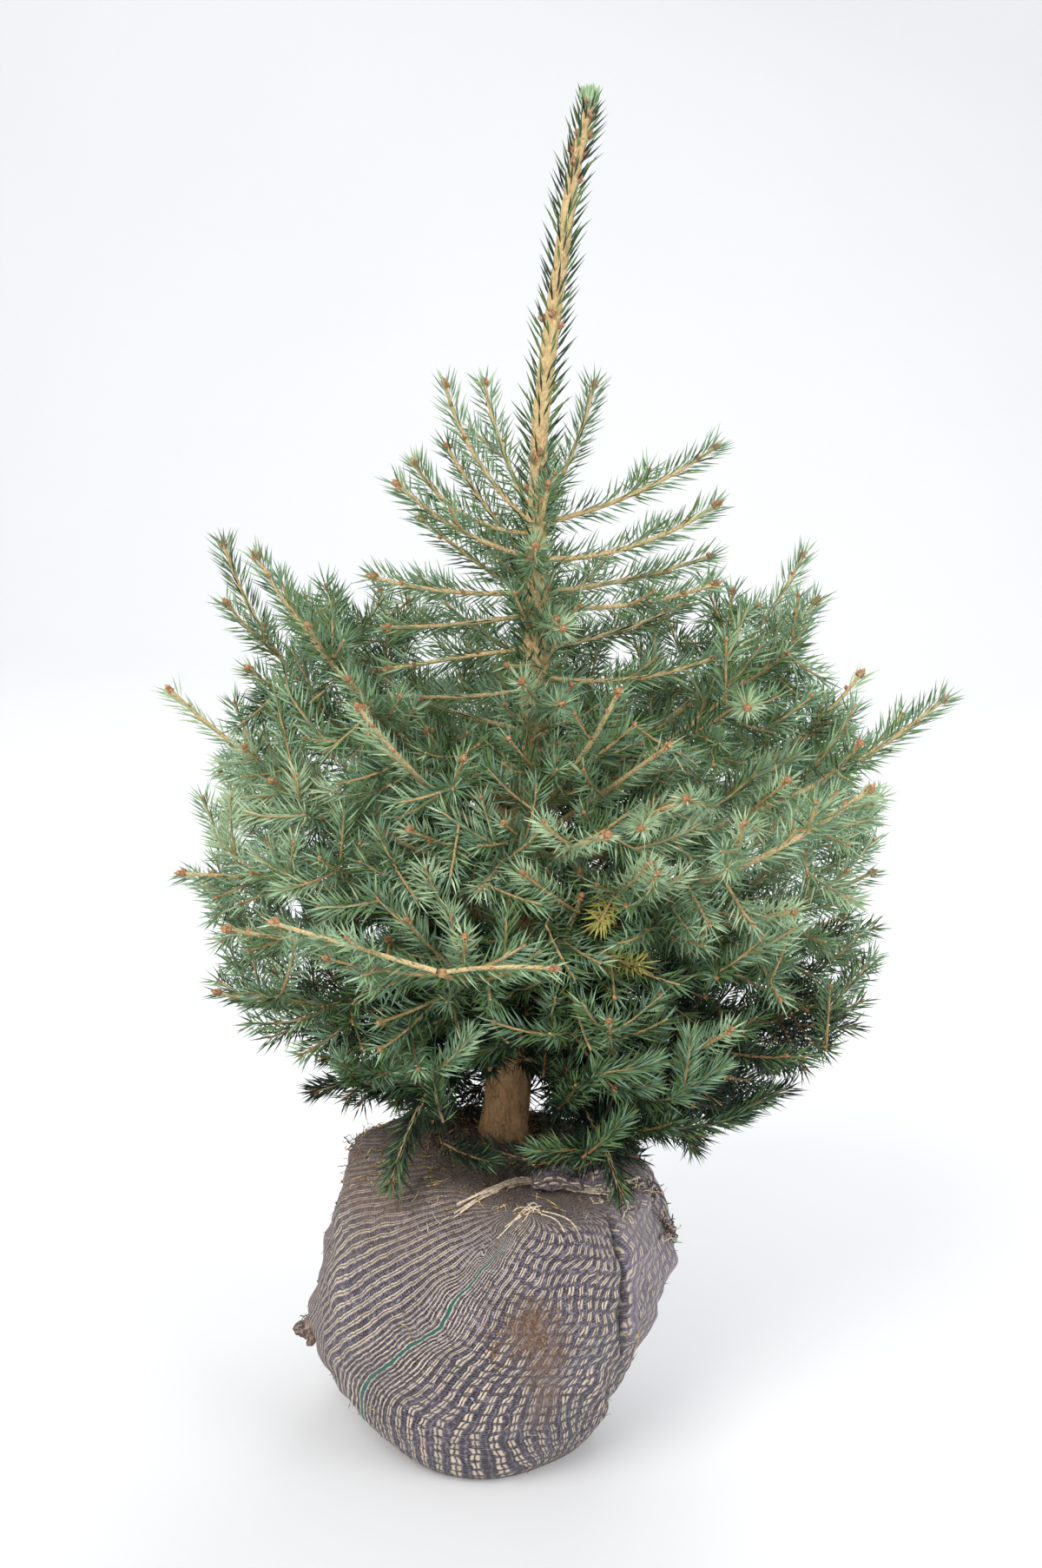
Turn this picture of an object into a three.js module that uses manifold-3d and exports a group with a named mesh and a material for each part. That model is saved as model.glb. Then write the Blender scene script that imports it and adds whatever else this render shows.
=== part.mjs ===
// A blue-green spruce sapling that stands on a root ball wrapped in sacking.
//
// The tree is one trunk with its leader, main boughs as tapering limbs, and masses of foliage.
// A mass is a stem with side twigs that branch by a seeded rule, and flat needles that stand out
// of slim three-sided cores. Units are millimetres, +Z is up, +X is the tree's right side and -Y
// its front. The origin is the middle of the ball's flat underside.

import * as THREE from 'three';
import { mergeVertices } from 'three/addons/utils/BufferGeometryUtils.js';
import Module from 'manifold-3d';

const wasm = await Module();
wasm.setup();

// ---- Driving dimensions -------------------------------------------------------------------

const GAP = 0.35; // air between two nodes that meet

// Root ball: [height, reach to the left, to the right, to the front, to the back].
const BALL_TOP = 200;
const BALL_SIDES = 28;
const BALL_PROFILE = [
  [0, 70, 70, 76, 76],
  [6, 84, 75, 86, 83],
  [22, 105, 87, 98, 95],
  [48, 119, 102, 109, 108],
  [75, 119, 115, 115, 116],
  [105, 113, 128, 119, 122],
  [138, 106, 137, 119, 125],
  [165, 101, 133, 113, 121],
  [185, 97, 118, 101, 112],
  [196, 89, 98, 86, 98],
  [BALL_TOP, 74, 70, 66, 78],
];
const ROLL_AT = [58, -50, 210.5]; // rolled cloth on the front rim
const ROLL_HALF = [27, 12, 9.5];
const ROLL_TURN = 14;
const CORNER_AT = [-120.5, -4, 66]; // gathered corner of the cloth, low on the left
const CORNER_LENGTH = 11;
const CORNER_RADIUS = 6;

// Trunk: stations of [height, x, y, radius], with the root flare at the foot.
const TRUNK_FOOT = BALL_TOP + GAP;
const TRUNK_SIDES = 8;
const TRUNK_STEP = 26;
const TRUNK_LINE = [
  [TRUNK_FOOT, 12, 30, 19.5],
  [208, 12.2, 30.2, 17.5],
  [225, 13, 30.6, 16.4],
  [270, 15.7, 32, 15.2],
  [370, 18.5, 34, 12.8],
  [430, 19.9, 34, 11.2],
  [490, 20.7, 34, 9.6],
  [555, 22, 34, 7.8],
  [630, 19.7, 33, 6.2],
  [700, 19.4, 32, 5.2],
  [765, 25, 31, 4.6],
  [855, 34.5, 29, 3.4],
  [903, 44.5, 28, 2.2],
];

// Foliage
const CORE_SIDES = 3;
const CORE_STEP = 19.5;
const CORE_TWIST = 25; // degrees that the core turns from one ring to the next
const TIP_RADIUS = 1.5;
const TIP_CONE = 6; // length of the point that ends a shoot
const STEM_RADIUS = 2.7;
const SLIM_STEM_RADIUS = 2.2;
const TWIG_RADIUS = 2.1;
const NEEDLE_OUT = 12;
const NEEDLE_FORWARD = 8;
const TERMINAL = 52; // the last year's growth, which has no side twigs
const TWIG_TERMINAL = 28.6; // the same on a side twig
const SPREAD = 42; // least angle between a side twig and its parent
const SHORTEST_TWIG = 27;
const LONG_TWIG = 90; // twigs longer than this branch once more
const TIER_TWIGS = { start: 0.5, pitch: 30, share: 0.28 };
const LIMB_TWIGS = { start: 0.06, pitch: 34, share: 0.46 };
const TRUNK_TWIGS = { start: 0.33, pitch: 34, share: 0.4 };
const FORK_TWIGS = { start: 0.35, pitch: 29, share: 0.4 };
const FINE_TWIGS = { first: 34, pitch: 32, share: 0.38 };
const PATH_STEP = 4.5;
const FINEST = 0.03; // edges and slivers below this are merged away
const SHOOT_CLEARANCE = 8; // between the middles of two shoots of different nodes
const TRUNK_CLEARANCE = 6; // more than that beside the trunk
const LIMB_CLEARANCE = 2; // and beside a limb
const LIMB_RADIUS = 4.3;
const LIMB_TIP_RADIUS = 3;
const LIMB_SIDES = 6;
const LIMB_STATION = 6; // path steps between two rings of a limb
const COLLAR_WALL = 2.3;
const COLLAR_NEEDLE_OUT = 9;
const COLLAR_NEEDLE_UP = 11;
const NEEDLE_SPHERES = [[0.1, 7.6], [0.32, 6], [0.58, 4.2], [0.86, 2.2]]; // room for a needle
const BARE_REACH = 56; // the oldest wood of the lower crown, this near the trunk, has no needles
const BARE_BELOW = 450;

// Twigs on the upper stem. Each tier is a collar round the trunk with its shoots fused on.
// Tier: [name, foot of the collar, top of the collar, shoots].
// Shoot: [height, direction in degrees from the right, length, rise at the foot, rise at the tip].
const TIERS = [
  ['leader_needles', 652, 898, []],
  ['foliage_tier_1', 596, 650, [
    [632, 150, 118, 30, 70], [637, 115, 125, 25, 58], [628, 188, 98, -2, 60],
    [612, 205, 113, 12, 42], [634, 10, 131, 12, 36], [611, -12, 128, 2, 39],
    [640, 60, 111, 30, 68], [620, 88, 108, 25, 55], [632, -80, 50, 20, 65],
    [606, 135, 115, 30, 46], [604, -95, 50, 8, 30],
  ]],
  ['foliage_tier_2', 563, 594, [
    [584, 156, 98, 22, 35], [590, 193, 111, -6, 16], [575, 183, 100, -12, -2],
    [580, -8, 121, -3, 24], [588, 25, 133, 3, 15], [569, -75, 52, 5, 20],
    [578, 62, 105, -2, 26], [580, 108, 112, 5, 30],
  ]],
  ['foliage_tier_3', 508, 561, [
    [552, 35, 129, -1, 20], [552, 190, 100, -7, -10], [524, 182, 96, -12, 3],
    [533, -6, 123, -8, 26], [542, -112, 50, 0, 15], [516, -72, 56, 0, 15],
    [540, 78, 125, 0, 25], [545, 128, 125, 0, 26],
  ]],
  ['foliage_tier_4', 468, 506, [
    [478, 197, 78, -4, 6], [484, 20, 104, -3, 16], [494, 54, 135, -4, 22],
    [488, 98, 140, -2, 24], [496, 148, 135, -4, 22], [475, -104, 66, 0, 20],
  ]],
];

// Lower crown: [name, height, direction, length, rise at the foot, rise at the tip, limb].
// The limb is the length of the bare bough. A row with none is a mass that starts at the trunk.
const BOUGHS = [
  ['left_high', 426, 190, 264, 31, 60, 92],
  ['back_left_high', 446, 157, 305, -4, 70, 92],
  ['left_middle', 396, 177, 275, 8, 43, 92],
  ['right_high', 438, 12, 248, 19, 54, 85],
  ['right_middle', 404, -16, 312, 8, 46, 100],
  ['front_right_middle', 366, -37, 298, 12, 44, 88],
  ['back_right_high', 456, 36, 290, 4, 58, 95],
  ['back_right_top', 432, 62, 252, 8, 52, 88],
  ['back_left_top', 432, 122, 258, 6, 54, 88],
  ['right_low', 344, -6, 250, 0, 32, 80],
  ['left_low', 358, 190, 235, 16, 4, 75],
  ['front_left_fork', 318, 254, 178, 17, 23, 178],
  ['front_left_high', 408, 230, 210, 28, 48, 0],
  ['right_upper', 418, 6, 265, 0, 56, 0],
  ['front_high', 434, -68, 185, 30, 50, 0],
  ['front_right_high', 415, -53, 176, 34, 36, 0],
  ['front_middle', 399, -76, 215, 23, 21, 0],
  ['front_left_middle', 390, 225, 138, 16, 31, 0],
  ['back_middle', 400, 90, 240, 4, 46, 0],
  ['back_left_middle', 360, 140, 245, 2, 34, 0],
  ['back_right_middle', 345, 66, 235, -2, 30, 0],
  ['back_low', 318, 106, 220, -6, 24, 0],
  ['left_foot', 302, 190, 207, -7, 14, 0],
  ['left_under', 332, 206, 215, 9, 16, 0],
  ['front_upright', 320, -71, 156, 18, 60, 0],
  ['right_under', 322, 18, 250, -10, 22, 0],
  ['right_foot', 286, 4, 216, -8, 17, 0],
  ['front_right_foot', 298, -42, 152, -8, 10, 0],
  ['front_right_level', 372, -26, 176, 16, -4, 0],
  ['front_right_star', 386, -52, 186, 37, 26, 0],
  ['hanging_front', 262, -58, 160, 22, -58, 0],
  ['hanging_right', 258, 28, 190, -4, -58, 0],
  ['back_right_foot', 276, 48, 205, -14, -3, 0],
  ['hanging_left', 286, 236, 170, 16, -72, 0],
  ['back_left_foot', 268, 166, 155, -14, -26, 0],
  ['back_foot', 282, 88, 190, -10, 5, 0],
  ['back_left_hem', 300, 130, 195, -12, -4, 0],
];

// Two masses that grow from the end of the forked bough.
const FORKS = [
  ['fork_left', 'front_left_fork', 194, 110, 19, 20],
  ['fork_right', 'front_left_fork', -25, 78, 18, 6],
];
const FORK_OFFSET = 4.2;

// Stub of a bough that was cut off at the front.
const STUB = { height: 352, toward: -84, length: 62, rise: 48, tipRise: 72 };
const STUB_RADIUS = 3.6;
const STUB_TIP_RADIUS = 3;

const COLOURS = {
  needles: 0x4f7361,
  leader: 0x668066,
  bark: 0x7c5436,
  limb: 0x8a6a45,
  sacking: 0x84776f,
};

// ---- Small helpers ------------------------------------------------------------------------

const radians = THREE.MathUtils.degToRad;

function lehmer(seed) {
  let state = seed * 7919 + 104729;
  const next = () => {
    state = (state * 16807) % 2147483647;
    return state / 2147483647;
  };
  next();
  next();
  return next;
}

function heading(toward, rise) {
  const flat = Math.cos(radians(rise));
  return new THREE.Vector3(
    flat * Math.cos(radians(toward)), flat * Math.sin(radians(toward)), Math.sin(radians(rise)));
}

function along(rows, height) {
  // Row of a table at a height, by straight lines between its stations.
  const last = rows.length - 2;
  const found = rows.findIndex((row, i) => i > last || height <= rows[i + 1][0]);
  const lower = rows[Math.min(found, last)];
  const upper = rows[Math.min(found, last) + 1];
  const share = (height - lower[0]) / (upper[0] - lower[0]);
  return lower.map((value, i) => value + (upper[i] - value) * share);
}

function trunkPoint(height) {
  const [, x, y] = along(TRUNK_LINE, height);
  return new THREE.Vector3(x, y, height);
}

function trunkRadius(height) {
  return along(TRUNK_LINE, height)[3];
}

// A frame of two directions square to a path's heading, level and upright.
function crossFrame(direction) {
  const level = new THREE.Vector3(-direction.y, direction.x, 0);
  if (level.lengthSq() < 1e-6) level.set(1, 0, 0);
  level.normalize();
  return [level, new THREE.Vector3().crossVectors(direction, level).normalize()];
}

// Closed mesh from rings of points with a flat or pointed end. A quad named in spikes
// becomes a needle, which is a pyramid that stands on the quad.
function closedRings(rings, { spikes = new Map(), tip = null } = {}) {
  const sides = rings[0].length;
  const positions = rings.flat();
  const faces = [];
  for (let ring = 0; ring < rings.length - 1; ring += 1) {
    for (let side = 0; side < sides; side += 1) {
      const a = ring * sides + side;
      const b = ring * sides + ((side + 1) % sides);
      const c = b + sides;
      const d = a + sides;
      const apex = spikes.get(`${ring},${side}`);
      if (apex) {
        const e = positions.push(apex) - 1;
        faces.push([a, b, e], [b, c, e], [c, d, e], [d, a, e]);
      } else {
        faces.push([a, b, c], [a, c, d]);
      }
    }
  }
  const top = (rings.length - 1) * sides;
  for (let side = 1; side < sides - 1; side += 1) faces.push([0, side + 1, side]);
  if (tip) {
    const e = positions.push(tip) - 1;
    for (let side = 0; side < sides; side += 1) {
      faces.push([top + side, top + ((side + 1) % sides), e]);
    }
  } else {
    for (let side = 1; side < sides - 1; side += 1) faces.push([top, top + side, top + side + 1]);
  }
  return solid(positions, faces);
}

function solid(positions, faces) {
  return new wasm.Manifold(new wasm.Mesh({
    numProp: 3,
    vertProperties: Float32Array.from(positions.flatMap((p) => [p.x, p.y, p.z])),
    triVerts: Uint32Array.from(faces.flat()),
  }));
}

function solidOf(geometry) {
  geometry.deleteAttribute('normal');
  geometry.deleteAttribute('uv');
  const merged = mergeVertices(geometry, 1e-4);
  return new wasm.Manifold(new wasm.Mesh({
    numProp: 3,
    vertProperties: Float32Array.from(merged.attributes.position.array),
    triVerts: Uint32Array.from(merged.index.array),
  }));
}

// The main body of a shape, without the scraps that a cut can leave.
function largest(shape) {
  return shape.decompose().sort((a, b) => b.volume() - a.volume())[0];
}

function ringAt(centre, direction, radius, sides, turn = 0) {
  const [level, upright] = crossFrame(direction);
  return Array.from({ length: sides }, (_, i) => {
    const angle = radians(turn) + (2 * Math.PI * i) / sides;
    return centre.clone()
      .addScaledVector(level, radius * Math.cos(angle))
      .addScaledVector(upright, radius * Math.sin(angle));
  });
}

// ---- Shoots: the seeded rule --------------------------------------------------------------

// A shoot keeps its direction seen from above, and its rise changes evenly along it.
function shoot(start, toward, length, rise, tipRise, order, radius) {
  const steps = Math.max(2, Math.round(length / PATH_STEP));
  const points = [start.clone()];
  for (let i = 0; i < steps; i += 1) {
    const slope = rise + ((tipRise - rise) * (i + 0.5)) / steps;
    points.push(points[i].clone().addScaledVector(heading(toward, slope), length / steps));
  }
  return { points, toward, length, rise, tipRise, order, radius };
}

function pointAt(stem, distance) {
  const steps = stem.points.length - 1;
  const place = Math.min(steps - 1e-6, (distance / stem.length) * steps);
  const index = Math.floor(place);
  return stem.points[index].clone().lerp(stem.points[index + 1], place - index);
}

function riseAt(stem, distance) {
  return stem.rise + ((stem.tipRise - stem.rise) * distance) / stem.length;
}

// Side twigs stand left and right in turn. Each is a share of the length that is left.
function sideTwigs(stem, next, { first, pitch, share, hand }) {
  const twigs = [];
  const bare = stem.order > 1 ? TWIG_TERMINAL : TERMINAL;
  let side = hand;
  for (let at = first; at < stem.length - bare; at += pitch * (0.85 + 0.3 * next())) {
    const length = (stem.length - at) * (share + 0.12 * next()) + 8;
    const angle = radians(SPREAD + 10 * next());
    const lift = 3 + 9 * next();
    const curl = 8 + 12 * next();
    const ahead = heading(stem.toward, riseAt(stem, at));
    const beside = heading(stem.toward + 90, 0);
    const way = ahead.multiplyScalar(Math.cos(angle)).addScaledVector(beside, side * Math.sin(angle));
    const toward = THREE.MathUtils.radToDeg(Math.atan2(way.y, way.x));
    const rise = THREE.MathUtils.radToDeg(Math.asin(way.z)) + lift;
    side = -side;
    if (length < SHORTEST_TWIG) continue;
    const foot = pointAt(stem, at);
    twigs.push(shoot(foot, toward, length, rise, rise + curl, stem.order + 1, TWIG_RADIUS));
  }
  return twigs;
}

function distanceToSegment(point, a, b) {
  const edge = b.clone().sub(a);
  const share = THREE.MathUtils.clamp(point.clone().sub(a).dot(edge) / edge.lengthSq(), 0, 1);
  return point.distanceTo(edge.multiplyScalar(share).add(a));
}

function distanceToPath(point, points) {
  let nearest = Infinity;
  for (let i = 0; i < points.length - 1; i += 1) {
    nearest = Math.min(nearest, distanceToSegment(point, points[i], points[i + 1]));
  }
  return nearest;
}

// A round bound lets most pairs of shoots be passed over.
function bound(points) {
  return new THREE.Sphere().setFromPoints(points);
}

function tooNear(points, others, clearance) {
  const room = bound(points);
  return others.some((other) => {
    const reach = room.radius + other.room.radius + clearance + other.extra;
    if (room.center.distanceTo(other.room.center) > reach) return false;
    return points.some((point) => distanceToPath(point, other.points) < clearance + other.extra);
  });
}

// Reach of the ball at a height and a direction, as a rounded outline through four reaches.
function ballReach(height, angle) {
  const [, left, right, front, back] = along(BALL_PROFILE, height);
  const wide = Math.cos(angle) > 0 ? right : left;
  const deep = Math.sin(angle) > 0 ? back : front;
  return 1 / Math.hypot(Math.cos(angle) / wide, Math.sin(angle) / deep);
}

function nearBall(point, clearance) {
  if (point.z > BALL_TOP + clearance) return false;
  const reach = ballReach(Math.min(point.z, BALL_TOP), Math.atan2(point.y, point.x));
  return Math.hypot(point.x, point.y) < reach + clearance;
}

// ---- Plan of the crown --------------------------------------------------------------------

const plans = []; // one plan for each node of foliage: name, shoots, and how it starts
const placed = []; // every path that takes room: node, points, room, extra clearance

function place(node, points, extra = 0) {
  placed.push({ node, points, room: bound(points), extra });
}

function planMass(name, stems, rule) {
  const plan = { name, shoots: stems, stems, rule };
  plans.push(plan);
  stems.forEach((stem) => place(name, stem.points));
  return plan;
}

const trunkPath = TRUNK_LINE.map(([height]) => trunkPoint(height));
place('trunk', trunkPath, TRUNK_CLEARANCE);

for (const [name, , , shoots] of TIERS) {
  const stems = shoots.map(([height, toward, length, rise, tipRise]) =>
    shoot(trunkPoint(height), toward, length, rise, tipRise, 1, SLIM_STEM_RADIUS));
  planMass(name, stems, TIER_TWIGS);
}

const limbs = new Map();
for (const [name, height, toward, length, rise, tipRise, limb] of BOUGHS) {
  const whole = shoot(trunkPoint(height), toward, length, rise, tipRise, 1, STEM_RADIUS);
  const joint = Math.round((limb / length) * (whole.points.length - 1));
  if (limb > 0) {
    limbs.set(name, whole.points.slice(0, joint + 1));
    place(`bough_${name}`, limbs.get(name), LIMB_CLEARANCE);
  }
  if (limb < length) {
    const stem = { ...whole, points: whole.points.slice(joint) };
    stem.length = length * (1 - joint / (whole.points.length - 1));
    stem.rise = riseAt(whole, length - stem.length);
    planMass(`foliage_${name}`, [stem], limb > 0 ? LIMB_TWIGS : TRUNK_TWIGS);
  }
}

for (const [name, bough, toward, length, rise, tipRise] of FORKS) {
  const end = limbs.get(bough).at(-1).clone();
  const start = end.addScaledVector(heading(toward, rise), FORK_OFFSET);
  const stem = shoot(start, toward, length - FORK_OFFSET, rise, tipRise, 1, SLIM_STEM_RADIUS);
  planMass(`foliage_${name}`, [stem], FORK_TWIGS);
}

const stubPath = shoot(
  trunkPoint(STUB.height), STUB.toward, STUB.length, STUB.rise, STUB.tipRise, 1, STUB_RADIUS).points;
place('pruned_stub', stubPath, LIMB_CLEARANCE);

// A twig that would come too near another node's shoots, the trunk or the ball is skipped.
function addTwigs(plan, stem, next, rule) {
  const added = [];
  for (const twig of sideTwigs(stem, next, rule)) {
    const free = twig.points.slice(2);
    const others = placed.filter((other) => other.node !== plan.name);
    if (tooNear(free, others, SHOOT_CLEARANCE)) continue;
    if (free.some((point) => nearBall(point, SHOOT_CLEARANCE))) continue;
    place(plan.name, twig.points);
    plan.shoots = [...plan.shoots, twig];
    added.push(twig);
  }
  return added;
}

plans.forEach((plan, number) => {
  plan.next = lehmer(number + 1);
  plan.hand = number % 2 ? 1 : -1;
  plan.twigs = plan.stems.flatMap((stem) => addTwigs(plan, stem, plan.next, {
    ...plan.rule, first: stem.length * plan.rule.start, hand: plan.hand,
  }));
});

plans.forEach((plan) => {
  for (const twig of plan.twigs.filter(({ length }) => length > LONG_TWIG)) {
    addTwigs(plan, twig, plan.next, { ...FINE_TWIGS, hand: plan.hand });
  }
});

// ---- Needles ------------------------------------------------------------------------------

const needles = []; // spheres that the needles fill, with their node's name

function needleFits(node, root, apex) {
  const spheres = NEEDLE_SPHERES.map(([share, radius]) => ({
    node, radius, centre: root.clone().lerp(apex, share),
  }));
  const blocked = spheres.some(({ centre, radius }) => {
    if (nearBall(centre, radius + GAP)) return true;
    const near = placed.some((other) => other.node !== node && other.node !== 'trunk'
      && other.room.center.distanceTo(centre) < other.room.radius + radius + STEM_RADIUS + other.extra
      && distanceToPath(centre, other.points) < radius + STEM_RADIUS + other.extra);
    return near || needles.some((other) => other.node !== node
      && other.centre.distanceTo(centre) < other.radius + radius);
  });
  if (!blocked) needles.push(...spheres);
  return !blocked;
}

function wayAt(points, index) {
  const before = points[Math.max(0, index - 1)];
  const after = points[Math.min(points.length - 1, index + 1)];
  return after.clone().sub(before).normalize();
}

// Core of a shoot with its needles: on each ring one side in three stays bare, in turn.
function shootSolid(node, stem, startOffset) {
  const count = Math.max(2, Math.round(stem.length / CORE_STEP));
  const stations = Array.from({ length: count }, (_, i) =>
    startOffset + ((stem.length - startOffset - TIP_CONE) * i) / (count - 1));
  const centres = stations.map((at) => pointAt(stem, at));
  const ways = stations.map((at) => heading(stem.toward, riseAt(stem, at)));
  const rings = centres.map((centre, i) => {
    const radius = THREE.MathUtils.lerp(stem.radius, TIP_RADIUS, i / (count - 1));
    return ringAt(centre, ways[i], radius, CORE_SIDES, CORE_TWIST * i);
  });
  const spikes = new Map();
  for (let ring = 0; ring < count - 1; ring += 1) {
    for (let side = 0; side < CORE_SIDES; side += 1) {
      if ((ring + side) % CORE_SIDES === 0) continue;
      const [a, b] = [rings[ring][side], rings[ring][(side + 1) % CORE_SIDES]];
      const [c, d] = [rings[ring + 1][(side + 1) % CORE_SIDES], rings[ring + 1][side]];
      const root = a.clone().add(b).add(c).add(d).multiplyScalar(0.25);
      const axis = centres[ring].clone().lerp(centres[ring + 1], 0.5);
      if (axis.z < BARE_BELOW && axis.distanceTo(trunkPoint(axis.z)) < BARE_REACH) continue;
      const apex = root.clone()
        .addScaledVector(root.clone().sub(axis).normalize(), NEEDLE_OUT)
        .addScaledVector(ways[ring], NEEDLE_FORWARD);
      if (needleFits(node, root, apex)) spikes.set(`${ring},${side}`, apex);
    }
  }
  return closedRings(rings, { spikes, tip: stem.points.at(-1) });
}

// ---- Trunk and its collars ----------------------------------------------------------------

const UP = new THREE.Vector3(0, 0, 1);
const TRUNK_TOP = TRUNK_LINE.at(-1)[0];

function stationsBetween(foot, top) {
  const count = Math.ceil((top - foot) / TRUNK_STEP);
  return Array.from({ length: count + 1 }, (_, i) => foot + ((top - foot) * i) / count);
}

function trunkRings(heights, extra) {
  return heights.map((height) =>
    ringAt(trunkPoint(height), UP, trunkRadius(height) + extra, TRUNK_SIDES));
}

const trunkHeights = stationsBetween(TRUNK_FOOT, TRUNK_TOP);
const trunkShape = closedRings(trunkRings(trunkHeights, 0));
// The same rings, wider by the gap and longer at both ends, cut room for the trunk.
const trunkCutter = closedRings(trunkRings(
  [TRUNK_FOOT - 8, ...trunkHeights, TRUNK_TOP + 4], GAP / Math.cos(Math.PI / TRUNK_SIDES)));

// Collar round the trunk, with upright needles on every other side.
function collarSolid(name, foot, top) {
  const heights = stationsBetween(foot, top);
  const rings = trunkRings(heights, COLLAR_WALL);
  const spikes = new Map();
  for (let ring = 0; ring < rings.length - 1; ring += 1) {
    for (let side = ring % 2; side < TRUNK_SIDES; side += 2) {
      const middle = (heights[ring] + heights[ring + 1]) / 2;
      const root = rings[ring][side].clone().add(rings[ring + 1][(side + 1) % TRUNK_SIDES])
        .multiplyScalar(0.5);
      const out = root.clone().sub(trunkPoint(middle)).setZ(0).normalize();
      const apex = root.clone().addScaledVector(out, COLLAR_NEEDLE_OUT)
        .addScaledVector(UP, COLLAR_NEEDLE_UP);
      if (needleFits(name, root, apex)) spikes.set(`${ring},${side}`, apex);
    }
  }
  return closedRings(rings, { spikes });
}

// ---- Ball and cloth -----------------------------------------------------------------------

function ballSolid() {
  const rings = BALL_PROFILE.map(([height]) => Array.from({ length: BALL_SIDES }, (_, i) => {
    const angle = (2 * Math.PI * i) / BALL_SIDES;
    const reach = ballReach(height, angle);
    return new THREE.Vector3(reach * Math.cos(angle), reach * Math.sin(angle), height);
  }));
  return closedRings(rings);
}

function rollSolid() {
  const geometry = new THREE.SphereGeometry(1, 12, 7);
  geometry.scale(...ROLL_HALF);
  geometry.rotateZ(radians(ROLL_TURN));
  geometry.translate(...ROLL_AT);
  return solidOf(geometry);
}

function cornerSolid() {
  const foot = new THREE.Vector3(...CORNER_AT);
  const way = new THREE.Vector3(-1, 0, 0.12).normalize();
  return closedRings([ringAt(foot, way, CORNER_RADIUS, 6)], {
    tip: foot.clone().addScaledVector(way, CORNER_LENGTH),
  });
}

// ---- Assembly -----------------------------------------------------------------------------

function meshOf(name, shape, colour, roughness) {
  const { vertProperties, triVerts } = shape.getMesh();
  const geometry = new THREE.BufferGeometry();
  geometry.setAttribute('position', new THREE.BufferAttribute(vertProperties, 3));
  geometry.setIndex(new THREE.BufferAttribute(triVerts, 1));
  const material = new THREE.MeshStandardMaterial({ color: colour, roughness, metalness: 0 });
  const mesh = new THREE.Mesh(geometry, material);
  mesh.name = name;
  return mesh;
}

function limbSolid(points, footRadius = LIMB_RADIUS, tipRadius = LIMB_TIP_RADIUS) {
  const kept = points.filter((_, i) => i % LIMB_STATION === 0 || i === points.length - 1);
  const rings = kept.map((point, i) => {
    const radius = THREE.MathUtils.lerp(footRadius, tipRadius, i / (kept.length - 1));
    return ringAt(point, wayAt(kept, i), radius, LIMB_SIDES);
  });
  return closedRings(rings).subtract(trunkCutter);
}

function massSolid(plan) {
  const collar = TIERS.find(([name]) => name === plan.name);
  // A collar's shoots and a row without a limb start inside the trunk and are cut clear of it.
  const fromTrunk = plan.stems.every(({ points: [foot] }) => foot.distanceTo(trunkPoint(foot.z)) < 1);
  const parts = plan.shoots.map((stem) => {
    const startOffset = stem.order === 1 && !fromTrunk ? GAP : 0;
    return shootSolid(plan.name, stem, startOffset);
  });
  if (collar) parts.push(collarSolid(plan.name, collar[1], collar[2]));
  const joined = parts.reduce((all, part) => all.add(part));
  const cut = fromTrunk ? joined.subtract(trunkCutter) : joined;
  return largest(cut.simplify(FINEST));
}

const tree = new THREE.Group();
tree.add(meshOf('root_ball', ballSolid(), COLOURS.sacking, 0.95));
tree.add(meshOf('sacking_roll', rollSolid(), COLOURS.sacking, 0.95));
tree.add(meshOf('sacking_corner', cornerSolid(), COLOURS.sacking, 0.95));
tree.add(meshOf('trunk', trunkShape, COLOURS.bark, 0.9));
tree.add(meshOf('pruned_stub', limbSolid(stubPath, STUB_RADIUS, STUB_TIP_RADIUS), COLOURS.limb, 0.85));
for (const [name, points] of limbs) {
  tree.add(meshOf(`bough_${name}`, limbSolid(points), COLOURS.limb, 0.85));
}
for (const plan of plans) {
  const colour = plan.name === 'leader_needles' ? COLOURS.leader : COLOURS.needles;
  tree.add(meshOf(plan.name, massSolid(plan), colour, 0.8));
}

export default tree;
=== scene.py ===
"""Look of a blue-green spruce sapling on a root ball wrapped in sacking, laid out as a Blender add-on.

The CAD model is loaded as a fixed frame, in metres: +Z is up, +X the tree's right side, -Y its front.
The crown is grown here by the same seeded rule as its solids, and carried on to finer twigs.
Lengths inside the rule are millimetres and are turned into metres where a mesh is made.
"""

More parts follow.
